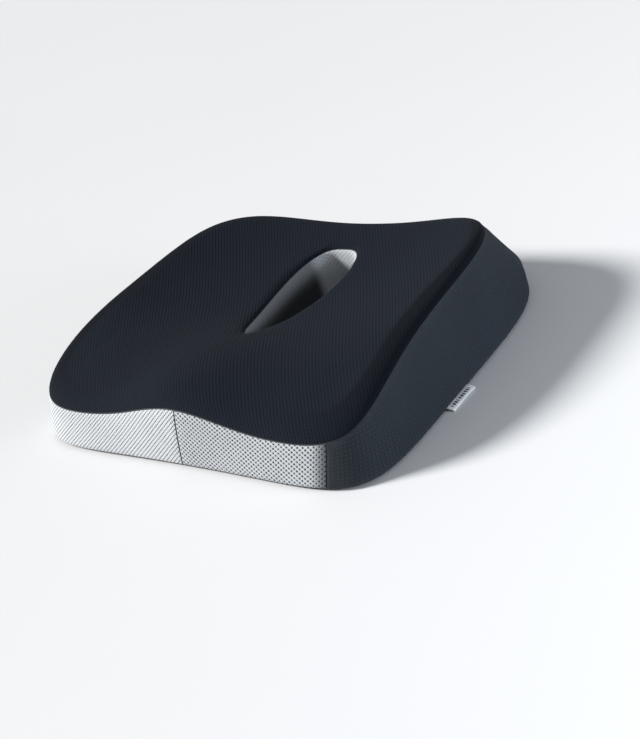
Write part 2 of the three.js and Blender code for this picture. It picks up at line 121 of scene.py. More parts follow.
def seatHeight(x, y):
    c = cushionShape
    along = (y - c["frontY"]) / (c["backY"] - c["frontY"])
    saddle = np.abs(x / c["halfWidth"]) ** c["saddleCurve"]
    fade = 1 - smoothstep((y - c["frontY"]) / c["pommelLength"])
    pommel = c["pommelHeight"] * np.exp(-((x / c["pommelWidth"]) ** 2)) * fade
    return lerp(evenSpline(c["middleHeights"], along), evenSpline(c["sideHeights"], along), saddle) + pommel


def ring(angle, side, front, back, taper):
    # a rounded square in plan, anticlockwise from +X
    c = cushionShape
    cosine, sine = np.cos(angle), np.sin(angle)
    power = np.where(sine < 0, c["frontSquareness"], c["backSquareness"])
    reach = (np.abs(cosine) ** power + np.abs(sine) ** power) ** (-1 / power)
    width = c["halfWidth"] - side
    low, high = c["frontY"] + front, c["backY"] - back
    x = width * reach * cosine * (1 + taper * reach * sine)
    scoop = c["frontScoop"] * np.cos(np.pi * x / (2.4 * width)) * np.maximum(0, -reach * sine)
    return x, (low + high) / 2 + (high - low) / 2 * reach * sine + scoop


def baseRing(angle, inset):
    c = cushionShape
    x, y = ring(angle, inset, inset, inset, c["baseTaper"])
    blend = c["zipPlaneBlend"]
    short = c["zipPlane"] - inset - y
    eased = c["zipPlane"] - inset - (np.clip(short, -blend, blend) + blend) ** 2 / (4 * blend)
    return x, np.where(short < blend, eased, y)


def seatRing(angle, inset):
    c = cushionShape
    side, front, back = (c[k] + inset for k in ("sideDraft", "frontDraft", "backDraft"))
    return ring(angle, side, front, back, c["seamTaper"])


def rollInset(angle):
    c = cushionShape
    return lerp(c["rollFront"], c["rollBack"], spanShare(np.sin(angle), c["rollSpan"]))


def holeRing(angle, grow):
    h = holeShape
    s = (1 + np.sin(angle)) / 2
    swell = np.maximum(0, np.sin(np.pi * s ** h["lean"])) ** h["bluntness"]
    x = np.sign(np.cos(angle)) * (h["halfWidth"] + grow) * swell
    return x, lerp(h["front"] - grow, h["back"] + grow, s)


def mix(p, q, t):
    return lerp(p[0], q[0], t), lerp(p[1], q[1], t)


def surfacePoint(angle, station):
    # a point of the cover: station 0 to 1 is the flat base, 1 to 2 its edge, 2 to 3 the wall, 3 to 4 the
    # roll-over, 4 to 5 the seat, 5 to 6 the hole's rim, 6 to 7 its wall and 7 to 8 its foot
    c = cushionShape
    angle, station = np.broadcast_arrays(np.asarray(angle, float), np.asarray(station, float))
    wrapped = station % 8
    zone = np.floor(wrapped).astype(int)
    t = wrapped - zone
    sine, cosine = np.sin(t * np.pi / 2), np.cos(t * np.pi / 2)
    seam = seatRing(angle, 0)
    seamZ = seatHeight(*seam) - c["rollHeight"]
    flat = mix(holeRing(angle, c["footRadius"]), baseRing(angle, c["baseEdge"]), t)
    edge = mix(baseRing(angle, c["baseEdge"]), baseRing(angle, 0), sine)
    low = lerp(c["baseEdge"], c["uprightTop"], np.minimum(1, 2 * t))
    wallZ = np.where(t < 0.5, low, lerp(c["uprightTop"], seamZ, 2 * t - 1))
    knee = lerp(c["baseEdge"], c["uprightTop"], spanShare(np.sin(angle), c["uprightSpan"]))
    wall = mix(baseRing(angle, 0), seam, np.maximum(0, (wallZ - knee) / (seamZ - knee)))
    roll = seatRing(angle, rollInset(angle) * (1 - cosine))
    seat = mix(seatRing(angle, rollInset(angle)), holeRing(angle, c["rimRadius"]), t)
    rim = holeRing(angle, c["rimRadius"] * (1 - sine))
    tube = holeRing(angle, 0)
    tubeTop = seatHeight(*tube) - c["rimRadius"]
    foot = holeRing(angle, c["footRadius"] * (1 - cosine))
    places = [flat, edge, wall, roll, seat, rim, tube, foot]
    heights = [
        0 * t, c["baseEdge"] * (1 - cosine), wallZ, seatHeight(*roll) - c["rollHeight"] * (1 - sine),
        seatHeight(*seat), seatHeight(*rim) - c["rimRadius"] * (1 - cosine),
        lerp(tubeTop, c["footRadius"], t), c["footRadius"] * (1 - sine),
    ]
    chosen = [zone == i for i in range(8)]
    x = np.select(chosen, [p[0] for p in places])
    y = np.select(chosen, [p[1] for p in places])
    return np.stack([x, y, np.select(chosen, heights)], -1)


def gridNormals(points, closedRound=False, closedAcross=False):
    # outward normals of a grid whose first index goes across and whose second goes round anticlockwise
    def slope(values, axis, closed):
        if closed:
            return np.roll(values, -1, axis) - np.roll(values, 1, axis)
        return np.gradient(values, axis=axis)
    normal = np.cross(slope(points, 1, closedRound), slope(points, 0, closedAcross))
    return normal / np.maximum(np.linalg.norm(normal, axis=2, keepdims=True), 1e-9)


def lengthAlong(points, axis=0):
    steps = np.linalg.norm(np.diff(points, axis=axis), axis=-1)
    start = np.zeros_like(np.take(steps, [0], axis))
    return np.concatenate([start, np.cumsum(steps, axis)], axis)


def wholeTurn():
    # once round from the middle of the front, in steps of an eighth of a degree
    return np.radians(np.linspace(-90, 270, 2881))


def evenAngles(columns):
    # angles at even steps along the base's outline
    turn = wholeTurn()
    along = lengthAlong(np.stack(baseRing(turn, 0), -1)[:, None])[:, 0]
    return np.interp(np.arange(columns) / columns * along[-1], along, turn)


def ringMesh(name, points):
    # a mesh in metres from a grid that closes on itself both ways
    rows, columns = points.shape[:2]
    row, column = np.meshgrid(np.arange(rows), np.arange(columns), indexing="ij")
    number = row * columns + column
    beside, above = np.roll(number, -1, 1), np.roll(number, -1, 0)
    faces = np.stack([number, beside, np.roll(beside, -1, 0), above], -1).reshape(-1, 4)
    mesh = bpy.data.meshes.new(name)
    mesh.from_pydata((points.reshape(-1, 3) * mm).tolist(), [], faces.tolist())
    return mesh


def link(name, mesh):
    piece = bpy.data.objects.new(name, mesh)
    bpy.context.scene.collection.objects.link(piece)
    return piece


# the cover is blown out by a cloth simulation that holds it at its seams and round the zip
swelling = {
    "columns": 300,
    "frames": 20,
    "pressure": 4.0,
    "clothMass": 0.0006,   # per point, so that the pressure moves it within the frames
    "tension": 6.0, "bending": 0.6, "quality": 5,
    "zipArea": (145, 150, 30),   # held within this distance of the middle, behind this y and below this z
    # how far a point may move
    "baseLimit": 0.01, "wallLimit": 4.2, "rollLimit": 1.4, "seatLimit": 1.2, "holeLimit": 1.2,
    "evening": 24,      # passes that even the cloth out along its seams
    "wrinkles": 0.12,   # what stays of the creases
}


def swellCover():
    angles = evenAngles(swelling["columns"])
    stations = np.concatenate([
        [0, 0.5, 1, seams["base"]], np.linspace(2, 3, 15), [3.2, 3.4, 3.6, 3.8], np.linspace(4, 5, 27),
        [5.25, 5.5, 5.75], np.linspace(6, 7, 11), [7.5, seams["foot"]],
    ])
    rest = surfacePoint(angles[None], stations[:, None])
    cover = link("swellingCover", ringMesh("swellingCover", rest))
    sewn = (stations <= 2) | (stations == seams["top"]) | (stations == seams["rim"]) | (stations >= 7.4)
    fromMiddle, behind, below = swelling["zipArea"]
    zipArea = (np.abs(rest[..., 0]) < fromMiddle) & (rest[..., 1] > behind) & (rest[..., 2] < below)
    held = cover.vertex_groups.new(name="held")
    held.add(np.flatnonzero(sewn[:, None] | zipArea).tolist(), 1.0, "REPLACE")
    cloth = cover.modifiers.new("Cloth", "CLOTH")
    settings = cloth.settings
    settings.quality = swelling["quality"]
    settings.mass = swelling["clothMass"]
    settings.tension_stiffness = swelling["tension"]
    settings.compression_stiffness = swelling["tension"]
    settings.shear_stiffness = swelling["tension"] / 2
    settings.bending_stiffness = swelling["bending"]
    settings.vertex_group_mass = "held"
    settings.use_pressure = True
    settings.uniform_pressure_force = swelling["pressure"]
    settings.effector_weights.gravity = 0
    cloth.collision_settings.use_collision = False
    cloth.point_cache.frame_start = 1
    cloth.point_cache.frame_end = swelling["frames"]
    for count in range(1, swelling["frames"] + 1):
        bpy.context.scene.frame_set(count)
    swollen = cover.evaluated_get(bpy.context.evaluated_depsgraph_get()).data
    points = np.empty(rest.size, np.float32)
    swollen.vertices.foreach_get("co", points)
    bpy.context.scene.frame_set(1)
    bpy.data.objects.remove(cover)
    moved = points.reshape(rest.shape) / mm - rest
    zones = ("base", "base", "wall", "roll", "seat", "hole", "hole", "hole")
    limits = np.array([swelling[zone + "Limit"] for zone in zones])
    limit = limits[np.floor(stations).astype(int)][:, None, None]
    size = np.maximum(np.linalg.norm(moved, axis=2, keepdims=True), 1e-6)
    print("cloth moved by up to", np.round(size.max(), 1), "mm, middle", np.round(np.median(size), 2))
    moved = moved / size * limit * np.tanh(size / limit)
    even = moved
    for count in range(swelling["evening"]):
        even = (np.roll(even, 1, 1) + 2 * even + np.roll(even, -1, 1)) / 4
    return angles, stations, lerp(even, moved, swelling["wrinkles"])


def smoothTaps(at, count, closed):
    # the four neighbours of a fractional grid place, and their cubic weights
    base = np.floor(at).astype(int)
    t = at - base
    weights = (
        (-t ** 3 + 2 * t ** 2 - t) / 2, (3 * t ** 3 - 5 * t ** 2 + 2) / 2,
        (-3 * t ** 3 + 4 * t ** 2 + t) / 2, (t ** 3 - t ** 2) / 2,
    )
    for k, weight in enumerate(weights):
        index = base - 1 + k
        yield (index % count if closed else np.clip(index, 0, count - 1)), weight


def swellAt(angle, station):
    angles, stations, moved = swollenCover
    rows, columns = moved.shape[:2]
    turned = (angle + np.pi / 2) % (2 * np.pi) - np.pi / 2
    columnAt = np.interp(turned, [*angles, angles[0] + 2 * np.pi], np.arange(columns + 1))
    rowAt = np.interp(station % 8, [*stations, 8], np.arange(rows + 1))
    total = np.zeros(angle.shape + (3,))
    for row, rowWeight in smoothTaps(rowAt, rows, True):
        for column, columnWeight in smoothTaps(columnAt, columns, True):
            total += moved[row, column] * (rowWeight * columnWeight)[..., None]
    return total


swollenCover = swellCover()
print("cover swollen")


def smooth(mesh):
    mesh.polygons.foreach_set("use_smooth", np.ones(len(mesh.polygons), bool))


def placeUv(mesh, corners):
    layer = mesh.uv_layers.new(name="cloth")
    layer.data.foreach_set("uv", np.asarray(corners, np.float32).ravel())


def shell(name, outer, inner, uv, keep=None, closed=False, fields=None):
    # a closed sheet between two grids; uv has one more column than the grid where it closes on itself
    rows, columns = outer.shape[:2]
    wide = columns if closed else columns - 1
    row, column = np.meshgrid(np.arange(rows - 1), np.arange(wide), indexing="ij")
    if keep is not None:
        row, column = row[keep], column[keep]
    row, column = row.ravel(), column.ravel()
    corners = [(row, column), (row, column + 1), (row + 1, column + 1), (row + 1, column)]
    top = np.stack([r * columns + c % columns for r, c in corners], -1)
    topUv = np.stack([uv[r, c] for r, c in corners], 1)
    count = rows * columns
    start, end = top.ravel(), np.roll(top, -1, 1).ravel()
    startUv, endUv = topUv.reshape(-1, 2), np.roll(topUv, -1, 1).reshape(-1, 2)
    edge = ~np.isin(start * count + end, end * count + start)
    a, b = start[edge], end[edge]
    walls = np.stack([b, a, a + count, b + count], -1)
    wallUv = np.stack([endUv[edge], startUv[edge], startUv[edge], endUv[edge]], 1)
    under = top[:, ::-1] + count
    faces = np.concatenate([top, under, walls])
    faceUv = np.concatenate([topUv, topUv[:, ::-1], wallUv])
    points = np.concatenate([outer.reshape(-1, 3), inner.reshape(-1, 3)])
    used, numbered = np.unique(faces, return_inverse=True)
    mesh = bpy.data.meshes.new(name)
    mesh.from_pydata((points[used] * mm).tolist(), [], numbered.reshape(-1, 4).tolist())
    smooth(mesh)
    placeUv(mesh, faceUv.reshape(-1, 2) * mm)
    for field, values in (fields or {}).items():
        both = np.concatenate([values.ravel(), values.ravel()])[used]
        layer = mesh.attributes.new(field, "FLOAT", "POINT")
        layer.data.foreach_set("value", both.astype(np.float32))
    return link(name, mesh)


def bodyRing(name, depth):
    # the whole ring-shaped body as one closed skin, at a depth that may vary
    rowsInZone = (12, 5, 28, 8, 34, 5, 12, 5)
    stations = np.concatenate([np.linspace(i, i + 1, rows, False) for i, rows in enumerate(rowsInZone)])
    points = surfacePoint(evenAngles(360)[None], stations[:, None])
    mesh = ringMesh(name, points - gridNormals(points, True, True) * depth(points)[..., None])
    smooth(mesh)
    return link(name, mesh)


def linesBetween(length, low, high, pitch, count=None):
    # places from 0 to a length, fine at both ends
    inner = length - low[-1] - high[-1]
    count = count or max(2, math.ceil(inner / pitch))
    middle = low[-1] + inner * np.arange(1, count) / count
    return np.concatenate([low, middle, length - np.array(high)[::-1]])


def panelGrid(start, end, lowStation, highStation, lowLines=edgeSteps, highLines=edgeSteps, marks=(),
              columnPitch=coverCloth["pitch"], rowPitch=coverCloth["pitch"]):
    # columns by length along the base and rows by length up the section, both fine at the panel's edges;
    # start and end are None on a panel that goes all the way round
    closed = start is None
    turn = wholeTurn() if closed else np.radians(np.linspace(start[0], end[0], 2881))
    base = lengthAlong(np.stack(baseRing(turn, 0), -1)[:, None])[:, 0]
    gap = coverCloth["seamGap"]
    if closed:
        count = round(base[-1] / columnPitch)
        across = np.arange(count) / count * base[-1]
    else:
        stops = [gap, *[np.interp(np.radians(m), turn, base) for m in marks], base[-1] - gap]
        spans = [a + linesBetween(b - a, edgeSteps, edgeSteps, columnPitch) for a, b in zip(stops, stops[1:])]
        across = np.unique(np.concatenate(spans).round(6))
    nominal = np.interp(across, base, turn)
    dense = np.linspace(lowStation, highStation, 121)
    lengths = lengthAlong(surfacePoint(nominal[None], dense[:, None]))
    total = lengths[-1] - 2 * gap
    inner = total.max() - lowLines[-1] - highLines[-1]
    rows = max(2, math.ceil(inner / rowPitch))
    up = np.stack([linesBetween(t, lowLines, highLines, rowPitch, rows) for t in total], 1)
    station = np.stack([np.interp(up[:, i] + gap, lengths[:, i], dense) for i in range(len(across))], 1)
    angle = np.broadcast_to(nominal, station.shape)
    grid = {"station": station, "up": up, "across": across, "closed": closed, "length": base[-1]}
    if not closed:
        low, high = (np.radians(lerp(edge[0], edge[1], up / total)) for edge in (start, end))
        angle = lerp(low, high, (nominal - turn[0]) / (turn[-1] - turn[0]))
        grid["sides"] = np.broadcast_to(np.minimum(across - gap, base[-1] - gap - across), up.shape)
    grid.update(angle=angle, border=np.minimum(up, total - up), rest=surfacePoint(angle, station))
    return grid


def turnedEdge(distance):
    r = coverCloth["edgeRadius"]
    inside = np.clip(r - distance, 0, r)
    return r - np.sqrt(np.maximum(r * r - inside * inside, 0))


def sewnPanel(name, grid, uv, keep=None, notch=None):
    # the panel's cloth: swollen, pulled in along its seams, with its edges turned in
    c = coverCloth
    points = grid["rest"] + swellAt(grid["angle"], grid["station"])
    normal = gridNormals(points, grid["closed"])
    border = grid["border"]
    valley = c["valleyDepth"] * np.exp(-((border / c["valleyWidth"]) ** 2))
    depth = turnedEdge(border)
    nearest = border
    if not grid["closed"]:
        valley = np.maximum(valley, c["sideValleyDepth"] * np.exp(-((grid["sides"] / c["valleyWidth"]) ** 2)))
        depth = np.maximum(depth, turnedEdge(grid["sides"]))
        nearest = np.minimum(nearest, grid["sides"])
    if notch is not None:
        depth = np.maximum(depth, turnedEdge(notch))
        nearest = np.minimum(nearest, notch)
    place = grid["across"] * 2 * np.pi / c["puckerLength"]
    gather = np.sin(place + 1.3 * np.sin(place * 0.37)) * np.sin(place * 0.23 + 0.8)
    pucker = c["puckerHeight"] * gather * np.exp(-border / c["puckerReach"]) * smoothstep(border / 2)
    outer = points + normal * (pucker - valley - depth)[..., None]
    inner = points - normal * c["thickness"]
    outer[..., 2] = np.maximum(outer[..., 2], c["gripHeight"])
    inner[..., 2] = np.maximum(inner[..., 2], c["gripHeight"] + c["leastThickness"])
    # how near a seam is, and painted shade along the roll-over on the cushion's sides, where it turns away
    # from the light
    rolled = smoothstep((4.03 - grid["station"]) / 0.1) * smoothstep(np.abs(np.cos(grid["angle"])) * 2.2 - 1)
    fields = {"seamNear": np.exp(-nearest / 3), "paintedRollShade": rolled}
    piece = shell(name, outer, inner, uv, keep, grid["closed"], fields)
    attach(piece, "cushion")
    return piece


def bandUv(grid):
    # u along the base and v up the wall
    u = np.broadcast_to(grid["across"], grid["up"].shape)
    if grid["closed"]:
        u = np.concatenate([u, np.full((len(u), 1), grid["length"])], 1)
        v = np.concatenate([grid["up"], grid["up"][:, :1]], 1)
        return np.stack([u, v], -1)
    return np.stack([u, grid["up"]], -1)


def planUv(grid):
    # from above, with the roll-over laid out flat beyond the seat's edge
    seatStart = 4.0
    x, y = grid["rest"][..., 0].copy(), grid["rest"][..., 1].copy()
    along = np.cumsum(np.concatenate([
        np.zeros((1, x.shape[1])), np.linalg.norm(np.diff(grid["rest"], axis=0), axis=2),
    ]), 0)
    nominal = grid["angle"][0]
    seat = surfacePoint(nominal, np.full(nominal.shape, seatStart))
    out = np.stack(seatRing(nominal, 0), -1) - seat[:, :2]
    out /= np.linalg.norm(out, axis=1, keepdims=True)
    crossing = np.array([np.interp(seatStart, grid["station"][:, i], along[:, i]) for i in range(x.shape[1])])
    beyond = np.maximum(0, crossing - along)
    rolled = grid["station"] < seatStart
    x = np.where(rolled, seat[:, 0] + out[:, 0] * beyond, x)
    y = np.where(rolled, seat[:, 1] + out[:, 1] * beyond, y)
    uv = np.stack([x, y], -1)
    return np.concatenate([uv, uv[:, :1]], 1)


def topPanel():
    grid = panelGrid(None, None, seams["top"], seams["rim"], columnPitch=3.0, rowPitch=3.0)
    piece = sewnPanel("top_panel_cloth", grid, planUv(grid))
    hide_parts("top_panel")
    return piece


def bottomPanel():
    grid = panelGrid(None, None, seams["foot"] - 8, seams["base"], columnPitch=4.0, rowPitch=9.0)
    uv = grid["rest"][..., :2]
    piece = sewnPanel("bottom_panel_cloth", grid, np.concatenate([uv, uv[:, :1]], 1))
    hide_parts("bottom_panel")
    return piece


def holeLining():
    grid = panelGrid(None, None, seams["rim"], seams["foot"], columnPitch=7.0)
    grid["across"] = lengthAlong(np.stack(holeRing(grid["angle"][0], 0), -1)[:, None])[:, 0]
    grid["length"] = lengthAlong(np.stack(holeRing(wholeTurn(), 0), -1)[:, None])[-1, 0]
    piece = sewnPanel("hole_lining_cloth", grid, bandUv(grid))
    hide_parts("hole_lining")
    return piece


def bandPanel(node, start, end):
    grid = panelGrid(start, end, seams["base"], seams["top"])
    piece = sewnPanel(node + "_cloth", grid, bandUv(grid))
    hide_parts(node)
    return piece


def backAngle(x):
    # the angle, in degrees, at which the base reaches an x on its back side
    turn = np.radians(np.linspace(89, 31, 581))
    return math.degrees(np.interp(x, baseRing(turn, 0)[0], turn))


def wallStation(z):
    c = cushionShape
    return 2 + 0.5 * (z - c["baseEdge"]) / (c["uprightTop"] - c["baseEdge"])


def backBand(node, upper):
    zipZ, half, gap = zipPlace["z"], zipPlace["halfHeight"], zipPlace["gap"]
    end = backAngle(zipPlace["halfLength"])
    sill = half - gap - coverCloth["seamGap"]
    # fine at the seam in line with the zip and at the window's edge, with one line halfway
    lines = (*edgeSteps, 4.8, *[sill + s for s in edgeSteps])
    if upper:
        span = {"lowStation": wallStation(zipZ + gap), "highStation": seams["top"], "lowLines": lines}
    else:
        span = {"lowStation": seams["base"], "highStation": wallStation(zipZ - gap), "highLines": lines[:-1]}
    grid = panelGrid(seams["backRight"], seams["backLeft"], marks=(end, 180 - end), **span)
    x, z = np.abs(grid["rest"][..., 0]), grid["rest"][..., 2]
    outX = np.maximum(0, x - zipPlace["halfLength"])
    outZ = np.maximum(0, np.abs(z - zipZ) - half)
    notch = np.hypot(outX, outZ)
    cellX = (x[1:, 1:] + x[:-1, :-1]) / 2
    cellZ = np.abs((z[1:, 1:] + z[:-1, :-1]) / 2 - zipZ)
    keep = ~((cellX < zipPlace["halfLength"]) & (cellZ < half))
    piece = sewnPanel(node + "_cloth", grid, bandUv(grid), keep, notch)
    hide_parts(node)
    return piece


frontMiddle = tuple(a + 360 for a in seams["frontCentre"])
panels = {
    "top": topPanel(),
    "bottom": bottomPanel(),
    "lining": holeLining(),
    "frontLeft": bandPanel("front_band_left", seams["frontLeft"], frontMiddle),
    "frontRight": bandPanel("front_band_right", seams["frontCentre"], seams["frontRight"]),
    "sideRight": bandPanel("side_band_right", seams["frontRight"], seams["backRight"]),
    "sideLeft": bandPanel("side_band_left", seams["backLeft"], seams["frontLeft"]),
    "backUpper": backBand("back_band_upper", True),
    "backLower": backBand("back_band_lower", False),
}
print("cover panels made:", {k: len(p.data.polygons) for k, p in panels.items()})


filling = {
    "foamDepth": 4.3, "linerDepth": 3.0, "linerThickness": 0.7,   # depths below the cover's face
    "slitHalfLength": 105, "slitHeight": 31, "slitHalfWidth": 1.4, "slitBehind": 150,
}


def behindZip(points):
    # 0 to 1: where the foam and the liner lie deeper to clear the zip
    x, y, z = points[..., 0], points[..., 1], points[..., 2]
    place = zipPlace
    across = smoothstep((place["recessHalfLength"] + 10 - np.abs(x)) / 10)
    height = smoothstep((place["recessHalfHeight"] + 3 - np.abs(z - place["z"])) / 3)
    return across * height * (y > filling["slitBehind"])


def foamCore():
    piece = bodyRing("foam_core_form", lambda p: filling["foamDepth"] + zipPlace["recess"] * behindZip(p))
    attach(piece, "cushion")
    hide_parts("foam_core")
    return piece


def innerLiner():
    # a knit sock with a slit above the zip, through which the foam goes in
    f = filling
    outerForm = bodyRing("liner_form", lambda p: f["linerDepth"] + zipPlace["recess"] * behindZip(p))
    mesh = outerForm.data
    centre = np.empty(len(mesh.polygons) * 3, np.float32)
    mesh.polygons.foreach_get("center", centre)
    x, y, z = centre.reshape(-1, 3).T / mm
    slit = (np.abs(x) < f["slitHalfLength"]) & (y > f["slitBehind"])
    slit &= np.abs(z - f["slitHeight"]) < f["slitHalfWidth"]
    keep = bpy.data.meshes.new("inner_liner_knit")
    points = np.empty(len(mesh.vertices) * 3, np.float32)
    mesh.vertices.foreach_get("co", points)
    faces = np.array([f.vertices[:] for f in mesh.polygons])[~slit]
    used, numbered = np.unique(faces, return_inverse=True)
    keep.from_pydata(points.reshape(-1, 3)[used].tolist(), [], numbered.reshape(-1, 4).tolist())
    smooth(keep)
    bpy.data.objects.remove(outerForm)
    piece = link("inner_liner_knit", keep)
    thicken = piece.modifiers.new("Solidify", "SOLIDIFY")
    thicken.thickness = f["linerThickness"] * mm
    thicken.offset = -1
    piece = applied(piece)
    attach(piece, "cushion")
    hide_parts("inner_liner")
    return piece


def applied(piece):
    # the piece with its modifiers made into a plain mesh
    evaluated = piece.evaluated_get(bpy.context.evaluated_depsgraph_get())
    mesh = bpy.data.meshes.new_from_object(evaluated)
    mesh.name = piece.name
    name = piece.name
    bpy.data.objects.remove(piece)
    return link(name, mesh)


foam = foamCore()
liner = innerLiner()
print("foam and liner made")


def node(tree, kind, **settings):
    made = tree.nodes.new(kind)
    for key, value in settings.items():
        setattr(made, key, value)
    return made


def feed(tree, target, value):
    # another node's output is linked, and a number or colour is set
    if isinstance(value, bpy.types.NodeSocket):
        tree.links.new(value, target)
    else:
        target.default_value = value


def wired(tree, target, **inputs):
    # a node with its inputs fed, an underscore in an input's name standing for a space
    for label, value in inputs.items():
        feed(tree, target.inputs[label.replace("_", " ")], value)
    return target


def newTree(name, sizes):
    # a geometry node tree with a geometry in and out and named sizes in
    tree = bpy.data.node_groups.new(name, "GeometryNodeTree")
    tree.interface.new_socket("Geometry", in_out="INPUT", socket_type="NodeSocketGeometry")
    for label, value in sizes.items():
        socket = tree.interface.new_socket(label, in_out="INPUT", socket_type="NodeSocketFloat")
        socket.default_value = value
    finish = tree.interface.new_socket("Finish", in_out="INPUT", socket_type="NodeSocketMaterial")
    finish.description = "finish of the made shapes"
    tree.interface.new_socket("Geometry", in_out="OUTPUT", socket_type="NodeSocketGeometry")
    return tree, node(tree, "NodeGroupInput").outputs, node(tree, "NodeGroupOutput")


def closeTree(tree, given, out, instances):
    realized = wired(tree, node(tree, "GeometryNodeRealizeInstances"), Geometry=instances)
    smoothed = wired(tree, node(tree, "GeometryNodeSetShadeSmooth"), Geometry=realized.outputs["Geometry"])
    paint = wired(tree, node(tree, "GeometryNodeSetMaterial"), Material=given["Finish"])
    wired(tree, paint, Geometry=smoothed.outputs["Geometry"])
    wired(tree, out, Geometry=paint.outputs["Geometry"])
    return tree


def ballNode(tree, segments, rings):
    ball = node(tree, "GeometryNodeMeshUVSphere")
    return wired(tree, ball, Segments=segments, Rings=rings, Radius=1.0).outputs["Mesh"]


def domesOnPoints():
    tree, given, out = newTree("domesOnPoints", {"Radius": 1.0, "Height": 0.4})
    scale = node(tree, "ShaderNodeCombineXYZ")
    wired(tree, scale, X=given["Radius"], Y=given["Radius"], Z=given["Height"])
    place = node(tree, "GeometryNodeInstanceOnPoints")
    wired(tree, place, Points=given["Geometry"], Instance=ballNode(tree, 8, 5), Scale=scale.outputs["Vector"])
    return closeTree(tree, given, out, place.outputs["Instances"])


def stitchesOnPath():
    # rounded stitches, one every pitch, each lying along the path or, with a quarter turn, across it
    sizes = {"Pitch": 0.003, "Length": 0.0022, "Radius": 0.00025, "Depth": 0.00025, "Turn": 0.0}
    tree, given, out = newTree("stitchesOnPath", sizes)
    curve = wired(tree, node(tree, "GeometryNodeMeshToCurve"), Mesh=given["Geometry"])
    spaced = node(tree, "GeometryNodeResampleCurve", mode="LENGTH")
    wired(tree, spaced, Curve=curve.outputs["Curve"], Length=given["Pitch"])
    tangent = node(tree, "GeometryNodeInputTangent").outputs["Tangent"]
    align = wired(tree, node(tree, "FunctionNodeAlignRotationToVector", axis="Z"), Vector=tangent)
    angles = wired(tree, node(tree, "ShaderNodeCombineXYZ"), Y=given["Turn"])
    spin = node(tree, "FunctionNodeRotateRotation", rotation_space="LOCAL")
    wired(tree, spin, Rotation=align.outputs["Rotation"], Rotate_By=angles.outputs["Vector"])
    half = node(tree, "ShaderNodeMath", operation="MULTIPLY")
    feed(tree, half.inputs[0], given["Length"])
    feed(tree, half.inputs[1], 0.5)
    scale = node(tree, "ShaderNodeCombineXYZ")
    wired(tree, scale, X=given["Radius"], Y=given["Depth"], Z=half.outputs["Value"])
    place = wired(
        tree, node(tree, "GeometryNodeInstanceOnPoints"), Points=spaced.outputs["Curve"],
        Instance=ballNode(tree, 6, 6), Rotation=spin.outputs["Rotation"], Scale=scale.outputs["Vector"],
    )
    return closeTree(tree, given, out, place.outputs["Instances"])


def tubeOnPath():
    tree, given, out = newTree("tubeOnPath", {"Radius": 0.0008})
    curve = wired(tree, node(tree, "GeometryNodeMeshToCurve"), Mesh=given["Geometry"])
    circle = wired(tree, node(tree, "GeometryNodeCurvePrimitiveCircle"), Resolution=6, Radius=given["Radius"])
    sweep = wired(tree, node(tree, "GeometryNodeCurveToMesh"), Curve=curve.outputs["Curve"], Fill_Caps=True)
    feed(tree, sweep.inputs["Profile Curve"], circle.outputs["Curve"])
    return closeTree(tree, given, out, sweep.outputs["Mesh"])


def grown(name, base, tree, finish, body, slot, **sizes):
    # a piece that a node tree makes from points or paths, as a plain mesh on its body
    piece = link(name, base)
    grow = piece.modifiers.new("Grow", "NODES")
    grow.node_group = tree
    sockets = {item.name: item.identifier for item in tree.interface.items_tree if item.in_out == "INPUT"}
    for label, value in sizes.items():
        grow[sockets[label]] = value
    grow[sockets["Finish"]] = finishes[finish]
    piece = applied(piece)
    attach(piece, body)
    return piece


def pathMesh(paths, closed):
    # paths as loose edges, in metres
    points, edges = [], []
    for path in paths:
        first = len(points)
        points += (np.asarray(path) * mm).tolist()
        edges += [(first + i, first + i + 1) for i in range(len(path) - 1)]
        if closed:
            edges.append((len(points) - 1, first))
    mesh = bpy.data.meshes.new("path")
    mesh.from_pydata(points, edges, [])
    return mesh


def calc(tree, operation, *values):
    made = node(tree, "ShaderNodeMath", operation=operation)
    for socket, value in zip(made.inputs, values):
        feed(tree, socket, value)
    return made.outputs[0]


def bodyPlace(tree):
    return node(tree, "ShaderNodeTexCoord").outputs["Object"]


def apart(tree, vector):
    # a vector's X, Y and Z
    split = node(tree, "ShaderNodeSeparateXYZ")
    feed(tree, split.inputs[0], vector)
    return split.outputs


def noiseFac(tree, vector, scale, detail=2.0):
    made = wired(tree, node(tree, "ShaderNodeTexNoise"), Vector=vector, Scale=scale, Detail=detail)
    return made.outputs["Fac"]


def cellDistance(tree, vector, scale):
    made = wired(tree, node(tree, "ShaderNodeTexVoronoi", feature="F1"), Vector=vector, Scale=scale)
    return made.outputs["Distance"]


def stepped(tree, value, low, high, toLow=0.0, toHigh=1.0):
    made = node(tree, "ShaderNodeMapRange", interpolation_type="SMOOTHSTEP")
    for socket, given in zip(made.inputs, (value, low, high, toLow, toHigh)):
        feed(tree, socket, given)
    return made.outputs["Result"]


def turned(tree, vector, angle):
    made = node(tree, "ShaderNodeVectorRotate", rotation_type="Z_AXIS")
    return wired(tree, made, Vector=vector, Angle=angle).outputs["Vector"]


def blended(tree, share, low, high):
    made = node(tree, "ShaderNodeMix", data_type="RGBA")
    for label, value in (("Factor_Float", share), ("A_Color", low), ("B_Color", high)):
        socket = next(i for i in made.inputs if i.identifier == label)
        feed(tree, socket, value)
    return next(o for o in made.outputs if o.identifier == "Result_Color")


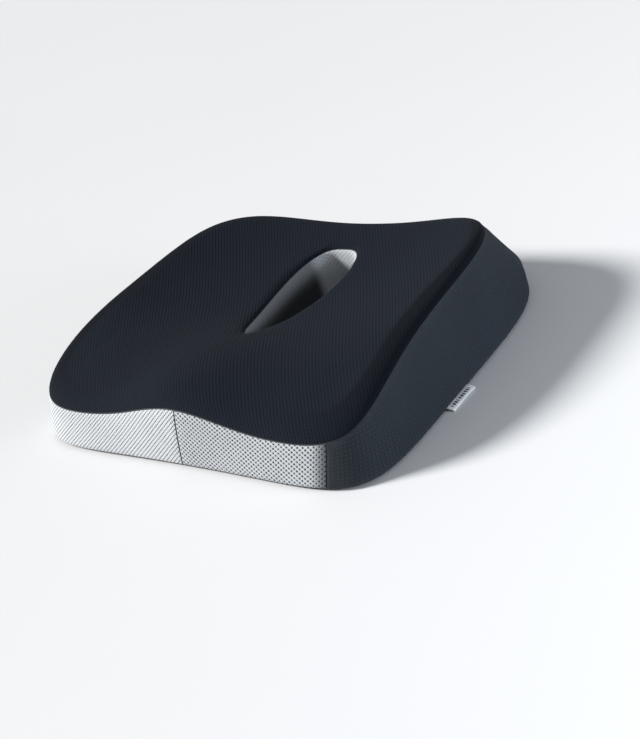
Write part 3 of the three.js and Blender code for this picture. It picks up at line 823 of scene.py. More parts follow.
def newGroup(name, given, made):
    group = bpy.data.node_groups.new(name, "ShaderNodeTree")
    group.interface.new_socket("Vector", in_out="INPUT", socket_type="NodeSocketVector")
    for label, value in given.items():
        socket = group.interface.new_socket(label, in_out="INPUT", socket_type="NodeSocketFloat")
        socket.default_value = value
    for label in made:
        group.interface.new_socket(label, in_out="OUTPUT", socket_type="NodeSocketFloat")
    return group, group.nodes.new("NodeGroupInput").outputs, group.nodes.new("NodeGroupOutput").inputs


def netMeshGroup():
    # a spacer mesh: dark ovals on a slanting lattice, joined by fine dark lines
    sizes = {
        "Columns": 0.0035, "Rows": 0.0037, "Stagger": 0.25, "Turn": 0.0, "Oval length": 0.0014,
        "Oval width": 0.0005, "Line": 0.5, "Cross line": 0.4, "Uneven": 0.2,
    }
    tree, given, out = newGroup("netMesh", sizes, ("Hole", "Height"))
    place = apart(tree, turned(tree, given["Vector"], given["Turn"]))
    across = calc(tree, "DIVIDE", place["X"], given["Columns"])
    slant = calc(tree, "MULTIPLY", across, given["Stagger"])
    up = calc(tree, "ADD", calc(tree, "DIVIDE", place["Y"], given["Rows"]), slant)
    column, row = calc(tree, "FLOOR", across), calc(tree, "FLOOR", up)
    fromColumn = calc(tree, "SUBTRACT", calc(tree, "SUBTRACT", across, column), 0.5)
    fromRow = calc(tree, "SUBTRACT", calc(tree, "SUBTRACT", up, row), 0.5)
    inX = calc(tree, "MULTIPLY", fromColumn, given["Columns"])
    straight = calc(tree, "SUBTRACT", fromRow, calc(tree, "MULTIPLY", fromColumn, given["Stagger"]))
    inY = calc(tree, "MULTIPLY", straight, given["Rows"])
    cell = wired(tree, node(tree, "ShaderNodeCombineXYZ"), X=column, Y=row)
    random = node(tree, "ShaderNodeTexWhiteNoise", noise_dimensions="2D")
    feed(tree, random.inputs["Vector"], cell.outputs["Vector"])
    longWay = calc(tree, "POWER", calc(tree, "DIVIDE", inY, given["Oval length"]), 2.0)
    wideWay = calc(tree, "POWER", calc(tree, "DIVIDE", inX, given["Oval width"]), 2.0)
    far = calc(tree, "SQRT", calc(tree, "ADD", longWay, wideWay))
    jitter = calc(tree, "MULTIPLY", calc(tree, "SUBTRACT", random.outputs["Value"], 0.5), given["Uneven"])
    reach = calc(tree, "ADD", far, jitter)
    oval = stepped(tree, reach, 0.65, 1.25, 1.0, 0.0)
    offLine = calc(tree, "DIVIDE", calc(tree, "ABSOLUTE", inX), given["Oval width"])
    inRow = calc(tree, "MULTIPLY", calc(tree, "ABSOLUTE", fromRow), given["Rows"])
    offCross = calc(tree, "DIVIDE", inRow, given["Oval width"])
    line = calc(tree, "MULTIPLY", stepped(tree, offLine, 0.5, 1.1, 1.0, 0.0), given["Line"])
    cross = calc(tree, "MULTIPLY", stepped(tree, offCross, 0.4, 1.0, 1.0, 0.0), given["Cross line"])
    hole = calc(tree, "MAXIMUM", oval, calc(tree, "MAXIMUM", line, cross))
    feed(tree, out["Hole"], hole)
    lifted = stepped(tree, reach, 0.3, 1.9)
    feed(tree, out["Height"], calc(tree, "SUBTRACT", lifted, calc(tree, "MULTIPLY", hole, 0.3)))
    return tree


def knitLoopGroup():
    # rows of V-shaped knit loops, and the fuzz of the yarn
    sizes = {"Wale": 0.0011, "Course": 0.0009, "Turn": 0.0}
    tree, given, out = newGroup("knitLoops", sizes, ("Height", "Fuzz"))
    place = apart(tree, turned(tree, given["Vector"], given["Turn"]))
    across = calc(tree, "FRACT", calc(tree, "DIVIDE", place["X"], given["Wale"]))
    chevron = calc(tree, "MULTIPLY", calc(tree, "ABSOLUTE", calc(tree, "SUBTRACT", across, 0.5)), 1.3)
    up = calc(tree, "ADD", calc(tree, "DIVIDE", place["Y"], given["Course"]), chevron)
    loops = calc(tree, "SINE", calc(tree, "MULTIPLY", up, 2 * math.pi))
    wales = calc(tree, "SINE", calc(tree, "MULTIPLY", across, math.pi))
    feed(tree, out["Height"], calc(tree, "MULTIPLY", calc(tree, "MULTIPLY_ADD", loops, 0.5, 0.5), wales))
    feed(tree, out["Fuzz"], noiseFac(tree, given["Vector"], 1900, 3))
    return tree


def clothWearGroup():
    # broad shade changes, lint, and the rubbed lines near a seam
    tree, given, out = newGroup("clothWear", {"Near seam": 0.0}, ("Shade", "Lint", "Rub"))
    broad = noiseFac(tree, given["Vector"], 11, 4)
    fine = noiseFac(tree, given["Vector"], 420)
    fleck = stepped(tree, cellDistance(tree, given["Vector"], 130), 0.04, 0.1, 1.0, 0.0)
    feed(tree, out["Shade"], stepped(tree, broad, 0.3, 0.7))
    feed(tree, out["Lint"], calc(tree, "MULTIPLY", fleck, stepped(tree, fine, 0.52, 0.62)))
    feed(tree, out["Rub"], calc(tree, "MULTIPLY", given["Near seam"], fine))
    return tree


def twillGroup():
    # a woven tape's herringbone
    tree, given, out = newGroup("twill", {"Thread": 0.0006, "Chevron": 0.004}, ("Height", "Tone"))
    place = apart(tree, given["Vector"])
    fold = calc(tree, "PINGPONG", place["Y"], given["Chevron"])
    along = calc(tree, "DIVIDE", calc(tree, "ADD", place["X"], fold), given["Thread"])
    ribs = calc(tree, "SINE", calc(tree, "MULTIPLY", along, 2 * math.pi))
    across = calc(tree, "DIVIDE", place["Y"], given["Thread"])
    crossed = calc(tree, "SINE", calc(tree, "MULTIPLY", across, 2 * math.pi))
    woven = calc(tree, "MULTIPLY_ADD", crossed, 0.3, ribs)
    feed(tree, out["Height"], calc(tree, "MULTIPLY_ADD", woven, 0.4, 0.5))
    feed(tree, out["Tone"], noiseFac(tree, given["Vector"], 600))
    return tree


groups = {
    "netMesh": netMeshGroup(), "knitLoops": knitLoopGroup(),
    "clothWear": clothWearGroup(), "twill": twillGroup(),
}


def placed(tree, name, vector, **sizes):
    made = node(tree, "ShaderNodeGroup", node_tree=groups[name])
    feed(tree, made.inputs["Vector"], vector)
    for label, value in sizes.items():
        feed(tree, made.inputs[label], value)
    return made.outputs


def newFinish(name, roughness, specular=0.5, sheen=0.0, sheenRoughness=0.5, metallic=0.0):
    finish = bpy.data.materials.new(name)
    finish.use_nodes = True
    tree = finish.node_tree
    shader = tree.nodes["Principled BSDF"]
    wired(
        tree, shader, Roughness=roughness, Specular_IOR_Level=specular, Sheen_Weight=sheen,
        Sheen_Roughness=sheenRoughness, Metallic=metallic,
    )
    return finish, tree, shader


def raised(tree, shader, height, strength, distance):
    bump = wired(tree, node(tree, "ShaderNodeBump"), Strength=strength, Distance=distance, Height=height)
    feed(tree, shader.inputs["Normal"], bump.outputs["Normal"])


def colour(rgb):
    return (*rgb, 1.0)


def clothCoordinates(tree):
    uv = node(tree, "ShaderNodeUVMap", uv_map="cloth").outputs["UV"]
    near = node(tree, "ShaderNodeAttribute", attribute_name="seamNear").outputs["Fac"]
    return uv, bodyPlace(tree), near


meshCloths = {
    # colours of the yarn, the hollows and the rubbed yarn, then the lattice in millimetres and degrees
    "navy": {
        "yarn": (0.0098, 0.0133, 0.021), "deep": (0.003, 0.004, 0.006), "pale": (0.024, 0.029, 0.038),
        "columns": 3.4, "rows": 3.7, "stagger": 0.5, "turn": -36, "length": 1.3, "width": 0.6,
        "line": 0.45, "cross": 0.0, "holeShare": 0.7, "bump": 0.5, "depth": 0.5, "shadeShare": 0.3,
        # rollShadeShare is the share of painted shade on the roll-over along the sides
        "seamDark": 0.5, "sheen": 0.02, "rollShadeShare": 0.72,
    },
    "greyLeft": {
        "yarn": (0.68, 0.70, 0.72), "deep": (0.025, 0.028, 0.033), "pale": (0.80, 0.81, 0.83),
        "columns": 3.54, "rows": 2.72, "stagger": 0.217, "turn": 48.3, "length": 0.8, "width": 0.72,
        "line": 0.2, "cross": 0.15, "holeShare": 1.0, "bump": 0.6, "depth": 0.6, "shadeShare": 0.2,
        "seamDark": 0.95, "sheen": 0.05,
    },
    "greyRight": {
        "yarn": (0.55, 0.57, 0.59), "deep": (0.022, 0.025, 0.03), "pale": (0.68, 0.70, 0.72),
        "columns": 3.54, "rows": 3.86, "stagger": -0.26, "turn": 51, "length": 1.05, "width": 0.85,
        "line": 0.15, "cross": 0.4, "holeShare": 1.0, "bump": 0.6, "depth": 0.6, "shadeShare": 0.2,
        "seamDark": 0.95, "sheen": 0.05, "fade": (20, 1, 0.8),   # painted shade, darker from 20 to 1 mm before its end, where the band turns round the corner away from the light
    },
    "greyLining": {
        "yarn": (0.55, 0.57, 0.59), "deep": (0.025, 0.028, 0.033), "pale": (0.68, 0.7, 0.72),
        "columns": 3.54, "rows": 3.86, "stagger": -0.26, "turn": 51, "length": 1.3, "width": 0.5,
        "line": 0.2, "cross": 0.1, "holeShare": 0.45, "bump": 0.5, "depth": 0.5, "shadeShare": 0.25,
        "seamDark": 0.3, "sheen": 0.05,
        # painted shade: darker low down in the hole and along its sides, from and to these heights and these
        # places along Y
        "depths": (58, 32), "depthShade": 0.36, "sides": (107, 93), "sideShade": 0.62,
        "rimDepths": (76, 62), "rimShare": 0.78,   # a strip along the rim takes this share of the sides' painted shade
    },
}


# how long the right half of the front band is, in metres
bandEnd = max(loop.uv.x for loop in panels["frontRight"].data.uv_layers["cloth"].data)


def meshCloth(name):
    m = meshCloths[name]
    finish, tree, shader = newFinish(name + "Mesh", 0.9, 0.06, m["sheen"], 0.45)
    uv, body, near = clothCoordinates(tree)
    net = placed(tree, "netMesh", uv, **{
        "Columns": m["columns"] * mm, "Rows": m["rows"] * mm, "Stagger": m["stagger"],
        "Turn": math.radians(m["turn"]), "Oval length": m["length"] * mm, "Oval width": m["width"] * mm,
        "Line": m["line"], "Cross line": m["cross"],
    })
    knit = placed(tree, "knitLoops", uv, Wale=0.75 * mm, Course=0.6 * mm, Turn=math.radians(m["turn"]))
    wear = placed(tree, "clothWear", body, **{"Near seam": near})
    deep, yarn, pale = (colour(m[k]) for k in ("deep", "yarn", "pale"))
    shade = calc(tree, "MULTIPLY", wear["Shade"], m["shadeShare"])
    plain = blended(tree, shade, yarn, blended(tree, 0.5, yarn, deep))
    lit = blended(tree, calc(tree, "MULTIPLY", knit["Height"], 0.3), plain, pale)
    rubbed = calc(tree, "MULTIPLY", calc(tree, "ADD", wear["Rub"], wear["Lint"]), 0.2)
    fuzzy = blended(tree, rubbed, lit, pale)
    inHole = calc(tree, "MULTIPLY", net["Hole"], m["holeShare"])
    inSeam = stepped(tree, near, 0.74, 0.88, 0.0, m["seamDark"])
    dark = calc(tree, "MAXIMUM", inHole, inSeam)
    # painted shade: the roll-over on the sides is darkened where it turns away from the light
    if "rollShadeShare" in m:
        over = node(tree, "ShaderNodeAttribute", attribute_name="paintedRollShade").outputs["Fac"]
        dark = calc(tree, "MAXIMUM", dark, calc(tree, "MULTIPLY", over, m["rollShadeShare"]))
    # painted shade near the band's end at the right corner
    if "fade" in m:
        start, end, share = m["fade"]
        cornerShade = stepped(tree, apart(tree, uv)["X"], bandEnd - start * mm, bandEnd - end * mm, 0.0, share)
        dark = calc(tree, "MAXIMUM", dark, cornerShade)
    # painted shade in the hole: darker low down and everywhere but the back wall, less so along the rim
    if "depths" in m:
        place = apart(tree, body)
        low = stepped(tree, place["Z"], m["depths"][1] * mm, m["depths"][0] * mm, m["depthShade"], 0.0)
        side = stepped(tree, place["Y"], m["sides"][1] * mm, m["sides"][0] * mm, m["sideShade"], 0.0)
        rim = stepped(tree, place["Z"], m["rimDepths"][1] * mm, m["rimDepths"][0] * mm, 1.0, m["rimShare"])
        side = calc(tree, "MULTIPLY", side, rim)
        dark = calc(tree, "MAXIMUM", dark, calc(tree, "ADD", low, side))
    feed(tree, shader.inputs["Base Color"], blended(tree, dark, fuzzy, deep))
    fuzzed = calc(tree, "MULTIPLY_ADD", knit["Fuzz"], 0.1, net["Height"])
    height = calc(tree, "MULTIPLY_ADD", knit["Height"], 0.18, fuzzed)
    raised(tree, shader, height, m["bump"], m["depth"] * mm)
    return finish


knitCloths = {
    "charcoal": {
        "yarn": (0.042, 0.05, 0.06), "deep": (0.014, 0.017, 0.02), "pale": (0.085, 0.096, 0.112),
        "wale": 1.5, "course": 1.25, "turn": 0, "bump": 0.6, "depth": 0.4, "sheen": 0.03,
    },
    "base": {
        "yarn": (0.012, 0.012, 0.013), "deep": (0.003, 0.003, 0.003), "pale": (0.03, 0.03, 0.032),
        "wale": 1.8, "course": 1.5, "turn": 45, "bump": 0.5, "depth": 0.35, "sheen": 0.05,
    },
}


def knitCloth(name):
    k = knitCloths[name]
    finish, tree, shader = newFinish(name + "Knit", 0.9, 0.06, k["sheen"], 0.45)
    uv, body, near = clothCoordinates(tree)
    wale, course = k["wale"] * mm, k["course"] * mm
    knit = placed(tree, "knitLoops", uv, Wale=wale, Course=course, Turn=math.radians(k["turn"]))
    ribs = placed(tree, "knitLoops", uv, Wale=wale * 3.1, Course=course * 2.7)
    wear = placed(tree, "clothWear", body, **{"Near seam": near})
    deep, yarn, pale = (colour(k[c]) for c in ("deep", "yarn", "pale"))
    plain = blended(tree, calc(tree, "MULTIPLY", wear["Shade"], 0.3), yarn, deep)
    ribbed = blended(tree, calc(tree, "MULTIPLY", ribs["Height"], 0.5), plain, pale)
    looped = blended(tree, stepped(tree, knit["Height"], 0.0, 0.6, 0.95, 0.0), ribbed, deep)
    rubbed = calc(tree, "MULTIPLY", calc(tree, "ADD", wear["Rub"], wear["Lint"]), 0.4)
    feed(tree, shader.inputs["Base Color"], blended(tree, rubbed, looped, pale))
    height = calc(tree, "MULTIPLY_ADD", knit["Fuzz"], 0.3, knit["Height"])
    raised(tree, shader, height, k["bump"], k["depth"] * mm)
    return finish


def foamFinish():
    finish, tree, shader = newFinish("openCellFoam", 0.95, 0.2, 0.2)
    body = bodyPlace(tree)
    cell = stepped(tree, cellDistance(tree, body, 700), 0.1, 0.6)
    shade = blended(tree, noiseFac(tree, body, 8), colour((0.72, 0.66, 0.5)), colour((0.86, 0.81, 0.67)))
    feed(tree, shader.inputs["Base Color"], blended(tree, cell, colour((0.5, 0.44, 0.3)), shade))
    raised(tree, shader, cell, 0.5, 0.5 * mm)
    return finish


def linerFinish():
    finish, tree, shader = newFinish("linerKnit", 0.9, 0.2, 0.2)
    body = bodyPlace(tree)
    knit = placed(tree, "knitLoops", body, Wale=1.6 * mm, Course=1.3 * mm)
    wear = placed(tree, "clothWear", body)
    plain = blended(tree, wear["Shade"], colour((0.7, 0.71, 0.72)), colour((0.78, 0.79, 0.79)))
    feed(tree, shader.inputs["Base Color"], blended(tree, knit["Height"], colour((0.45, 0.46, 0.48)), plain))
    raised(tree, shader, knit["Height"], 0.4, 0.3 * mm)
    return finish


def threadFinish(name, rgb):
    finish, tree, shader = newFinish(name, 0.6, 0.3, 0.2)
    ply = noiseFac(tree, bodyPlace(tree), 3000)
    pale = tuple(min(1, c * 1.8 + 0.004) for c in rgb)
    feed(tree, shader.inputs["Base Color"], blended(tree, ply, colour(rgb), colour(pale)))
    raised(tree, shader, ply, 0.4, 0.1 * mm)
    return finish


def tapeFinish():
    finish, tree, shader = newFinish("zipTapeTwill", 0.8, 0.2, 0.15)
    quarter = (math.radians(-90), 0, 0)
    flat = wired(tree, node(tree, "ShaderNodeMapping"), Vector=bodyPlace(tree), Rotation=quarter)
    twill = placed(tree, "twill", flat.outputs["Vector"], Thread=0.7 * mm, Chevron=3 * mm)
    shade = blended(tree, twill["Tone"], colour((0.013, 0.015, 0.018)), colour((0.026, 0.028, 0.032)))
    woven = blended(tree, twill["Height"], colour((0.008, 0.009, 0.011)), shade)
    feed(tree, shader.inputs["Base Color"], woven)
    raised(tree, shader, twill["Height"], 0.5, 0.15 * mm)
    return finish


def coilFinish():
    finish, tree, shader = newFinish("zipCoilNylon", 0.38, 0.5)
    noise = noiseFac(tree, bodyPlace(tree), 500)
    shade = blended(tree, noise, colour((0.01, 0.011, 0.013)), colour((0.03, 0.032, 0.036)))
    feed(tree, shader.inputs["Base Color"], shade)
    feed(tree, shader.inputs["Roughness"], stepped(tree, noise, 0.3, 0.7, 0.3, 0.5))
    return finish


def metalFinish():
    finish, tree, shader = newFinish("zipMetalBlack", 0.35, 0.5, metallic=0.85)
    stretch = wired(tree, node(tree, "ShaderNodeMapping"), Vector=bodyPlace(tree), Scale=(0.3, 1, 2))
    scratch = noiseFac(tree, stretch.outputs["Vector"], 900, 6)
    worn = stepped(tree, scratch, 0.58, 0.72)
    shade = blended(tree, worn, colour((0.035, 0.036, 0.04)), colour((0.2, 0.2, 0.21)))
    feed(tree, shader.inputs["Base Color"], shade)
    feed(tree, shader.inputs["Roughness"], stepped(tree, scratch, 0.3, 0.75, 0.28, 0.5))
    raised(tree, shader, scratch, 0.15, 0.05 * mm)
    return finish


def rubberFinish():
    finish, tree, shader = newFinish("gripRubber", 0.55, 0.45)
    noise = noiseFac(tree, bodyPlace(tree), 900)
    shade = blended(tree, noise, colour((0.012, 0.012, 0.013)), colour((0.03, 0.03, 0.031)))
    feed(tree, shader.inputs["Base Color"], shade)
    raised(tree, shader, noise, 0.3, 0.1 * mm)
    return finish


labelLook = {
    "ground": (0.80, 0.80, 0.78), "pale": (0.88, 0.88, 0.87), "print": (0.04, 0.042, 0.05),
    "length": 39, "margin": 4, "markHeight": 3.4, "markLine": 3.7, "markPitch": 3.4,
}


def labelFinish():
    # satin tape with one row of plain woven bars
    look = labelLook
    finish, tree, shader = newFinish("labelSatin", 0.5, 0.4, 0.2)
    place = apart(tree, node(tree, "ShaderNodeUVMap", uv_map="cloth").outputs["UV"])
    satin = calc(tree, "SINE", calc(tree, "MULTIPLY", place["Y"], 2 * math.pi / (0.45 * mm)))
    weft = calc(tree, "SINE", calc(tree, "MULTIPLY", place["X"], 2 * math.pi / (0.7 * mm)))
    half = look["length"] / 2
    inside = calc(tree, "COMPARE", place["X"], half * mm, (half - look["margin"]) * mm)
    along = calc(tree, "DIVIDE", place["X"], look["markPitch"] * mm)
    step = calc(tree, "FLOOR", along)
    random = node(tree, "ShaderNodeTexWhiteNoise", noise_dimensions="1D")
    wide = calc(tree, "MULTIPLY_ADD", wired(tree, random, W=step).outputs["Value"], 0.3, 0.5)
    inMark = calc(tree, "LESS_THAN", calc(tree, "SUBTRACT", along, step), wide)
    onLine = calc(tree, "COMPARE", place["Y"], look["markLine"] * mm, look["markHeight"] / 2 * mm)
    printed = calc(tree, "MULTIPLY", calc(tree, "MULTIPLY", inMark, onLine), inside)
    thread = calc(tree, "MULTIPLY_ADD", weft, 0.12, 0.2)
    ground = blended(tree, thread, colour(look["ground"]), colour(look["pale"]))
    feed(tree, shader.inputs["Base Color"], blended(tree, printed, ground, colour(look["print"])))
    raised(tree, shader, calc(tree, "ADD", satin, weft), 0.25, 0.08 * mm)
    return finish


finishes = {name: meshCloth(name) for name in meshCloths}
finishes.update({name: knitCloth(name) for name in knitCloths})
finishes.update({
    "foam": foamFinish(), "liner": linerFinish(), "tape": tapeFinish(), "coil": coilFinish(),
    "metal": metalFinish(), "rubber": rubberFinish(), "label": labelFinish(),
    "darkThread": threadFinish("darkThread", (0.008, 0.009, 0.011)),
    "charcoalThread": threadFinish("charcoalThread", (0.03, 0.035, 0.042)),
})
print("finishes made:", len(finishes))

for panel, finish in (
    ("top", "navy"), ("bottom", "base"), ("lining", "greyLining"), ("frontLeft", "greyLeft"),
    ("frontRight", "greyRight"), ("sideRight", "charcoal"), ("sideLeft", "charcoal"),
    ("backUpper", "charcoal"), ("backLower", "charcoal"),
):
    panels[panel].data.materials.append(finishes[finish])
foam.data.materials.append(finishes["foam"])
liner.data.materials.append(finishes["liner"])


trees = {"domes": domesOnPoints(), "stitches": stitchesOnPath(), "tube": tubeOnPath()}
seamThreads = {
    "cordDepth": 1.5, "cordRadius": 0.75, "ladderDepth": 1.0, "ladderPitch": 2.4, "ladderLength": 1.7,
    "ladderRadius": 0.2, "slopeStep": 0.004,   # of angle and station, to find a seam's own surface
}
windowStitches = {"offset": 2.6, "pitch": 3.2, "length": 2.5, "radius": 0.24}
gripDots = {"pitch": 9, "radius": 1.5, "margin": 13}


def seamPath(depth, stations, angles):
    # points under a seam, along it
    angle, station = np.broadcast_arrays(np.asarray(angles, float), np.asarray(stations, float))
    step = seamThreads["slopeStep"]

    def at(a, s):
        return surfacePoint(a, s) + swellAt(np.atleast_1d(a), np.atleast_1d(s))

    middle = at(angle, station)
    across = at(angle + step, station) - at(angle - step, station)
    upward = at(angle, station + step) - at(angle, station - step)
    normal = np.cross(across, upward)
    return middle - normal / np.linalg.norm(normal, axis=-1, keepdims=True) * depth


def seamLines(depth):
    turn = np.radians(np.linspace(-90, 270, 700, False))
    rings = [seamPath(depth, seams[name], turn) for name in ("top", "base", "rim", "foot")]
    rising = []
    height = np.linspace(seams["base"], seams["top"], 40)
    for name in ("frontCentre", "frontRight", "frontLeft", "backRight", "backLeft"):
        low, high = seams[name]
        lean = np.radians(lerp(low, high, (height - height[0]) / (height[-1] - height[0])))
        rising.append(seamPath(depth, height, lean))
    return rings, rising


def seamThreadPieces():
    t = seamThreads
    for name, depth, tree, sizes in (
        ("cord", t["cordDepth"], "tube", {"Radius": t["cordRadius"] * mm}),
        ("ladder", t["ladderDepth"], "stitches", {
            "Pitch": t["ladderPitch"] * mm, "Length": t["ladderLength"] * mm,
            "Radius": t["ladderRadius"] * mm, "Depth": t["ladderRadius"] * mm, "Turn": math.pi / 2,
        }),
    ):
        rings, rising = seamLines(depth)
        for part, path in (("rings", pathMesh(rings, True)), ("uprights", pathMesh(rising, False))):
            grown(f"seam_{name}_{part}", path, trees[tree], "darkThread", "cushion", "base_cloth", **sizes)


def windowStitching():
    w, z = windowStitches, zipPlace
    x, up = z["halfLength"] + w["offset"], z["halfHeight"] + w["offset"]
    face = cushionShape["zipPlane"] - 0.1
    corners = [(-x, -up), (x, -up), (x, up), (-x, up)]
    path = []
    for (x0, z0), (x1, z1) in zip(corners, corners[1:] + corners[:1]):
        steps = max(2, round(math.hypot(x1 - x0, z1 - z0) / 2))
        path += [(lerp(x0, x1, i / steps), face, z["z"] + lerp(z0, z1, i / steps)) for i in range(steps)]
    sizes = {"Pitch": w["pitch"], "Length": w["length"], "Radius": w["radius"], "Depth": w["radius"]}
    sizes = {label: value * mm for label, value in sizes.items()}
    thread = ("charcoalThread", "cushion", "charcoal_knit")
    grown("zip_window_stitches", pathMesh([path], True), trees["stitches"], *thread, **sizes)


def gripDotField():
    g = gripDots
    reach = cushionShape["halfWidth"]
    rows = np.arange(-reach, reach, g["pitch"] * math.sqrt(3) / 2)
    turn = np.radians(np.linspace(-180, 180, 721))
    edge = np.stack(baseRing(turn, g["margin"]), -1)
    hole = np.stack(holeRing(turn, g["margin"]), -1)

    def inside(x, y, outline):
        x0, y0 = outline[:-1].T
        x1, y1 = outline[1:].T
        crosses = (y0 > y) != (y1 > y)
        return np.sum(crosses & (x < x0 + (y - y0) * (x1 - x0) / np.where(crosses, y1 - y0, 1))) % 2 == 1

    points = []
    for i, y in enumerate(rows):
        for x in np.arange(-reach, reach, g["pitch"]) + (i % 2) * g["pitch"] / 2:
            if inside(x, y, edge) and not inside(x, y, hole):
                points.append((x * mm, y * mm, coverCloth["gripHeight"] * mm))
    base = bpy.data.meshes.new("dotPlaces")
    base.from_pydata(points, [], [])
    sizes = {"Radius": g["radius"] * mm, "Height": coverCloth["gripHeight"] * mm}
    grown("base_grip_dots", base, trees["domes"], "rubber", "cushion", "base_cloth", **sizes)


seamThreadPieces()
windowStitching()
gripDotField()
print("seams, stitches and grip dots made")


def refined(nodeName, bevel, finish, body, segments=2):
    # a solid of the zip with its edges eased
    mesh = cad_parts[nodeName].data.copy()
    form = bmesh.new()
    form.from_mesh(mesh)
    bmesh.ops.remove_doubles(form, verts=form.verts, dist=0.002 * mm)
    bmesh.ops.dissolve_limit(form, angle_limit=math.radians(1), verts=form.verts, edges=form.edges)
    form.to_mesh(mesh)
    form.free()
    mesh.materials.clear()
    mesh.materials.append(finishes[finish])
    piece = link(nodeName + "_fine", mesh)
    ease = piece.modifiers.new("Ease", "BEVEL")
    ease.width = bevel * mm
    ease.segments = segments
    ease.limit_method = "ANGLE"
    ease.angle_limit = math.radians(40)
    piece = applied(piece)
    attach(piece, body)
    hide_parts(nodeName)
    return piece


zipDetail = {
    "toothPitch": 1.25, "toothWidth": 0.5, "coreRadius": 0.45, "coreShare": 0.18, "ends": 0.5,
    "sewingOffset": 2.9, "sewingPitch": 2.2, "sewingLength": 1.8, "sewingRadius": 0.2,
}


def coilTeeth(name, side):
    low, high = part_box(name)
    middle = (low + high) / 2 / mm
    length = (high.x - low.x) / mm
    width, deep = (high.z - low.z) / mm, (high.y - low.y) / mm
    d = zipDetail
    xs = np.linspace(-length / 2 + d["ends"], length / 2 - d["ends"], 60)
    path = [(x, middle.y, middle.z) for x in xs]
    sizes = {
        "Pitch": d["toothPitch"] * mm, "Length": width * mm, "Radius": d["toothWidth"] * mm,
        "Depth": deep / 2 * mm, "Turn": math.pi / 2,
    }
    teeth = pathMesh([path], False)
    piece = grown(name + "_teeth", teeth, trees["stitches"], "coil", "cushion", "zip_coil", **sizes)
    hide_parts(name)
    core = pathMesh([[(x, middle.y, middle.z + side * width * d["coreShare"]) for x in xs]], False)
    grown(name + "_core", core, trees["tube"], "tape", "cushion", "zip_tape", Radius=d["coreRadius"] * mm)
    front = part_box("zip_tape_upper")[1].y / mm
    sewing = pathMesh([[(x, front + 0.1, zipPlace["z"] + side * d["sewingOffset"]) for x in xs]], False)
    sizes = {
        "Pitch": d["sewingPitch"] * mm, "Length": d["sewingLength"] * mm, "Radius": d["sewingRadius"] * mm,
        "Depth": d["sewingRadius"] * mm,
    }
    grown(name + "_sewing", sewing, trees["stitches"], "darkThread", "cushion", "zip_tape", **sizes)


for name, side in (("zip_coil_upper", 1), ("zip_coil_lower", -1)):
    coilTeeth(name, side)
for name in ("zip_tape_upper", "zip_tape_lower"):
    refined(name, 0.12, "tape", "cushion", 1)
for name in ("zip_stop_left", "zip_stop_right"):
    refined(name, 0.1, "metal", "cushion", 1)
refined("zip_slider_body", 0.22, "metal", "zip_slider")
refined("zip_pull_tab", 0.25, "metal", "zip_pull")
print("zip made")


labelShape = {
    "thickness": 0.35, "reach": 7.2, "inSeam": 1.2, "droop": 1.9, "fold": 0.45, "wave": 0.25, "centreY": -36,
    "seamAngle": -9, "clearance": 0.05, "foldRows": 14,
}


def sideLabel():
    # a tape folded over, its ends in the base seam
    l = labelShape
    half = labelLook["length"] / 2
    start = surfacePoint(np.radians(l["seamAngle"]), seams["base"])
    outward = np.linspace(-l["inSeam"], l["reach"], l["foldRows"])
    homeward = np.linspace(l["reach"], -l["inSeam"], l["foldRows"])
    out = np.concatenate([outward, [l["reach"] + 0.5], homeward])
    side = np.concatenate([np.ones(l["foldRows"]), [0], -np.ones(l["foldRows"])])
    share = np.clip(out / l["reach"], 0, 1)
    across = np.linspace(-half, half, 40)
    x = start[0] + out[:, None] + 0.15 * np.sin(across / 9)[None]
    sag = l["droop"] * share ** 1.6
    wave = l["wave"] * share[:, None] * np.sin(across / 6.1 + 0.4)[None] + 0.2 * share[:, None]
    z = start[2] - 0.1 - sag[:, None] + side[:, None] * l["fold"] * (0.35 + 0.65 * share[:, None]) + wave
    y = np.broadcast_to(l["centreY"] + across[None], z.shape)
    points = np.stack([x, y, z], -1)
    thin = points - gridNormals(points) * l["thickness"]
    lift = max(0, l["clearance"] - min(points[..., 2].min(), thin[..., 2].min()))   # clear of the floor
    points[..., 2] += lift
    thin[..., 2] += lift
    run = lengthAlong(points)[:, 0] - l["inSeam"]
    uv = np.stack(np.broadcast_arrays(across[None] + half, run[:, None]), -1)
    piece = shell("side_label_tape", points, thin, uv)
    piece.data.materials.append(finishes["label"])
    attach(piece, "cushion")
    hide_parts("side_label")


sideLabel()
print("label made")


studio = {
    "floor": (0.79, 0.79, 0.79), "floorHalf": 6, "world": 0.27, "worldColour": (0.94, 0.97, 1.0),
    "sunFrom": (-1.0, -0.52, 0.68), "sunPower": 4.9, "sunSoftness": 14,   # softness in degrees
    "glowPlace": (1.7, 0.1, 0.3), "glowSize": 0.6, "glowPower": 17, "glowColour": (0.75, 0.85, 1.0),
}
cameraPlace = {
    "azimuth": 46.086, "elevation": 28.130, "roll": 20.190,   # degrees
    "distance": 1378.83, "lens": 65.124, "aim": (0, 0, 60), "across": 42.53, "down": 60.03,
}


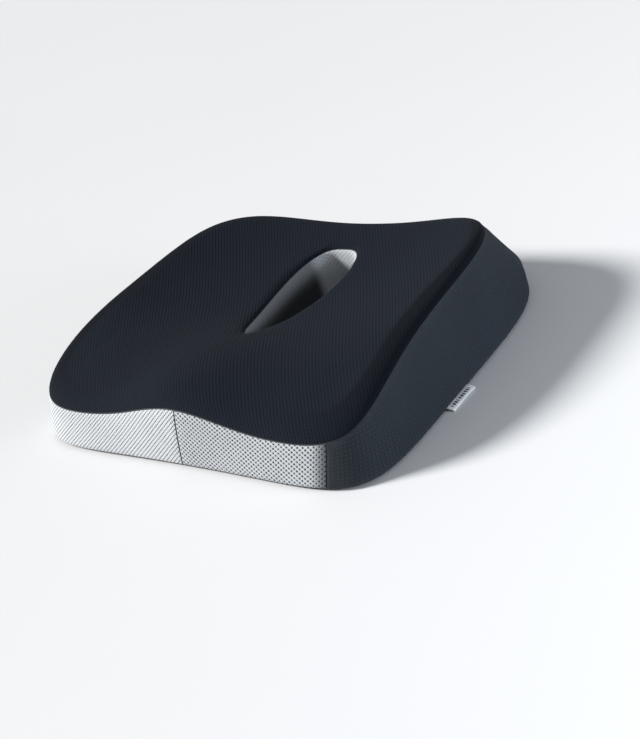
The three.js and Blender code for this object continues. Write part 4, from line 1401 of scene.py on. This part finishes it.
def floorAndLights():
    size = studio["floorHalf"]
    mesh = bpy.data.meshes.new("studioFloor")
    corners = [(-size, -size, 0), (size, -size, 0), (size, size, 0), (-size, size, 0)]
    mesh.from_pydata(corners, [], [(0, 1, 2, 3)])
    finish, tree, shader = newFinish("studioFloor", 0.7, 0.2)
    pale = tuple(c * 1.03 for c in studio["floor"])
    shade = blended(tree, noiseFac(tree, bodyPlace(tree), 2), colour(studio["floor"]), colour(pale))
    feed(tree, shader.inputs["Base Color"], shade)
    mesh.materials.append(finish)
    link("studio_floor", mesh)
    world = bpy.data.worlds.new("studio")
    bpy.context.scene.world = world
    world.use_nodes = True
    background = world.node_tree.nodes["Background"]
    background.inputs["Color"].default_value = colour(studio["worldColour"])
    background.inputs["Strength"].default_value = studio["world"]
    sun = bpy.data.lights.new("sun", "SUN")
    sun.energy = studio["sunPower"]
    sun.angle = math.radians(studio["sunSoftness"])
    glow = bpy.data.lights.new("glow", "AREA")
    glow.size = studio["glowSize"]
    glow.energy = studio["glowPower"]
    glow.color = studio["glowColour"]
    for light, place in ((sun, studio["sunFrom"]), (glow, studio["glowPlace"])):
        lamp = bpy.data.objects.new(light.name + "Lamp", light)
        lamp.location = place
        lamp.rotation_euler = (-Vector(place)).to_track_quat("-Z", "Y").to_euler()
        bpy.context.scene.collection.objects.link(lamp)


def placeCamera():
    c = cameraPlace
    a, e, turn = (math.radians(c[k]) for k in ("azimuth", "elevation", "roll"))
    back = Vector((math.sin(a) * math.cos(e), -math.cos(a) * math.cos(e), math.sin(e)))
    level = Vector((math.cos(a), math.sin(a), 0))
    rise = back.cross(level)
    right = math.cos(turn) * level - math.sin(turn) * rise
    up = math.sin(turn) * level + math.cos(turn) * rise
    data = bpy.data.cameras.new("studioCamera")
    data.lens = c["lens"]
    data.sensor_width = 36
    data.clip_start, data.clip_end = 0.05, 20
    camera = bpy.data.objects.new("studioCamera", data)
    place = (Vector(c["aim"]) + back * c["distance"] + right * c["across"] - up * c["down"]) * mm
    camera.matrix_world = Matrix((
        (right.x, up.x, back.x, place.x), (right.y, up.y, back.y, place.y),
        (right.z, up.z, back.z, place.z), (0, 0, 0, 1),
    ))
    bpy.context.scene.collection.objects.link(camera)
    bpy.context.scene.camera = camera


floorAndLights()
placeCamera()
bpy.context.scene.view_settings.view_transform = "Standard"
print("studio ready")
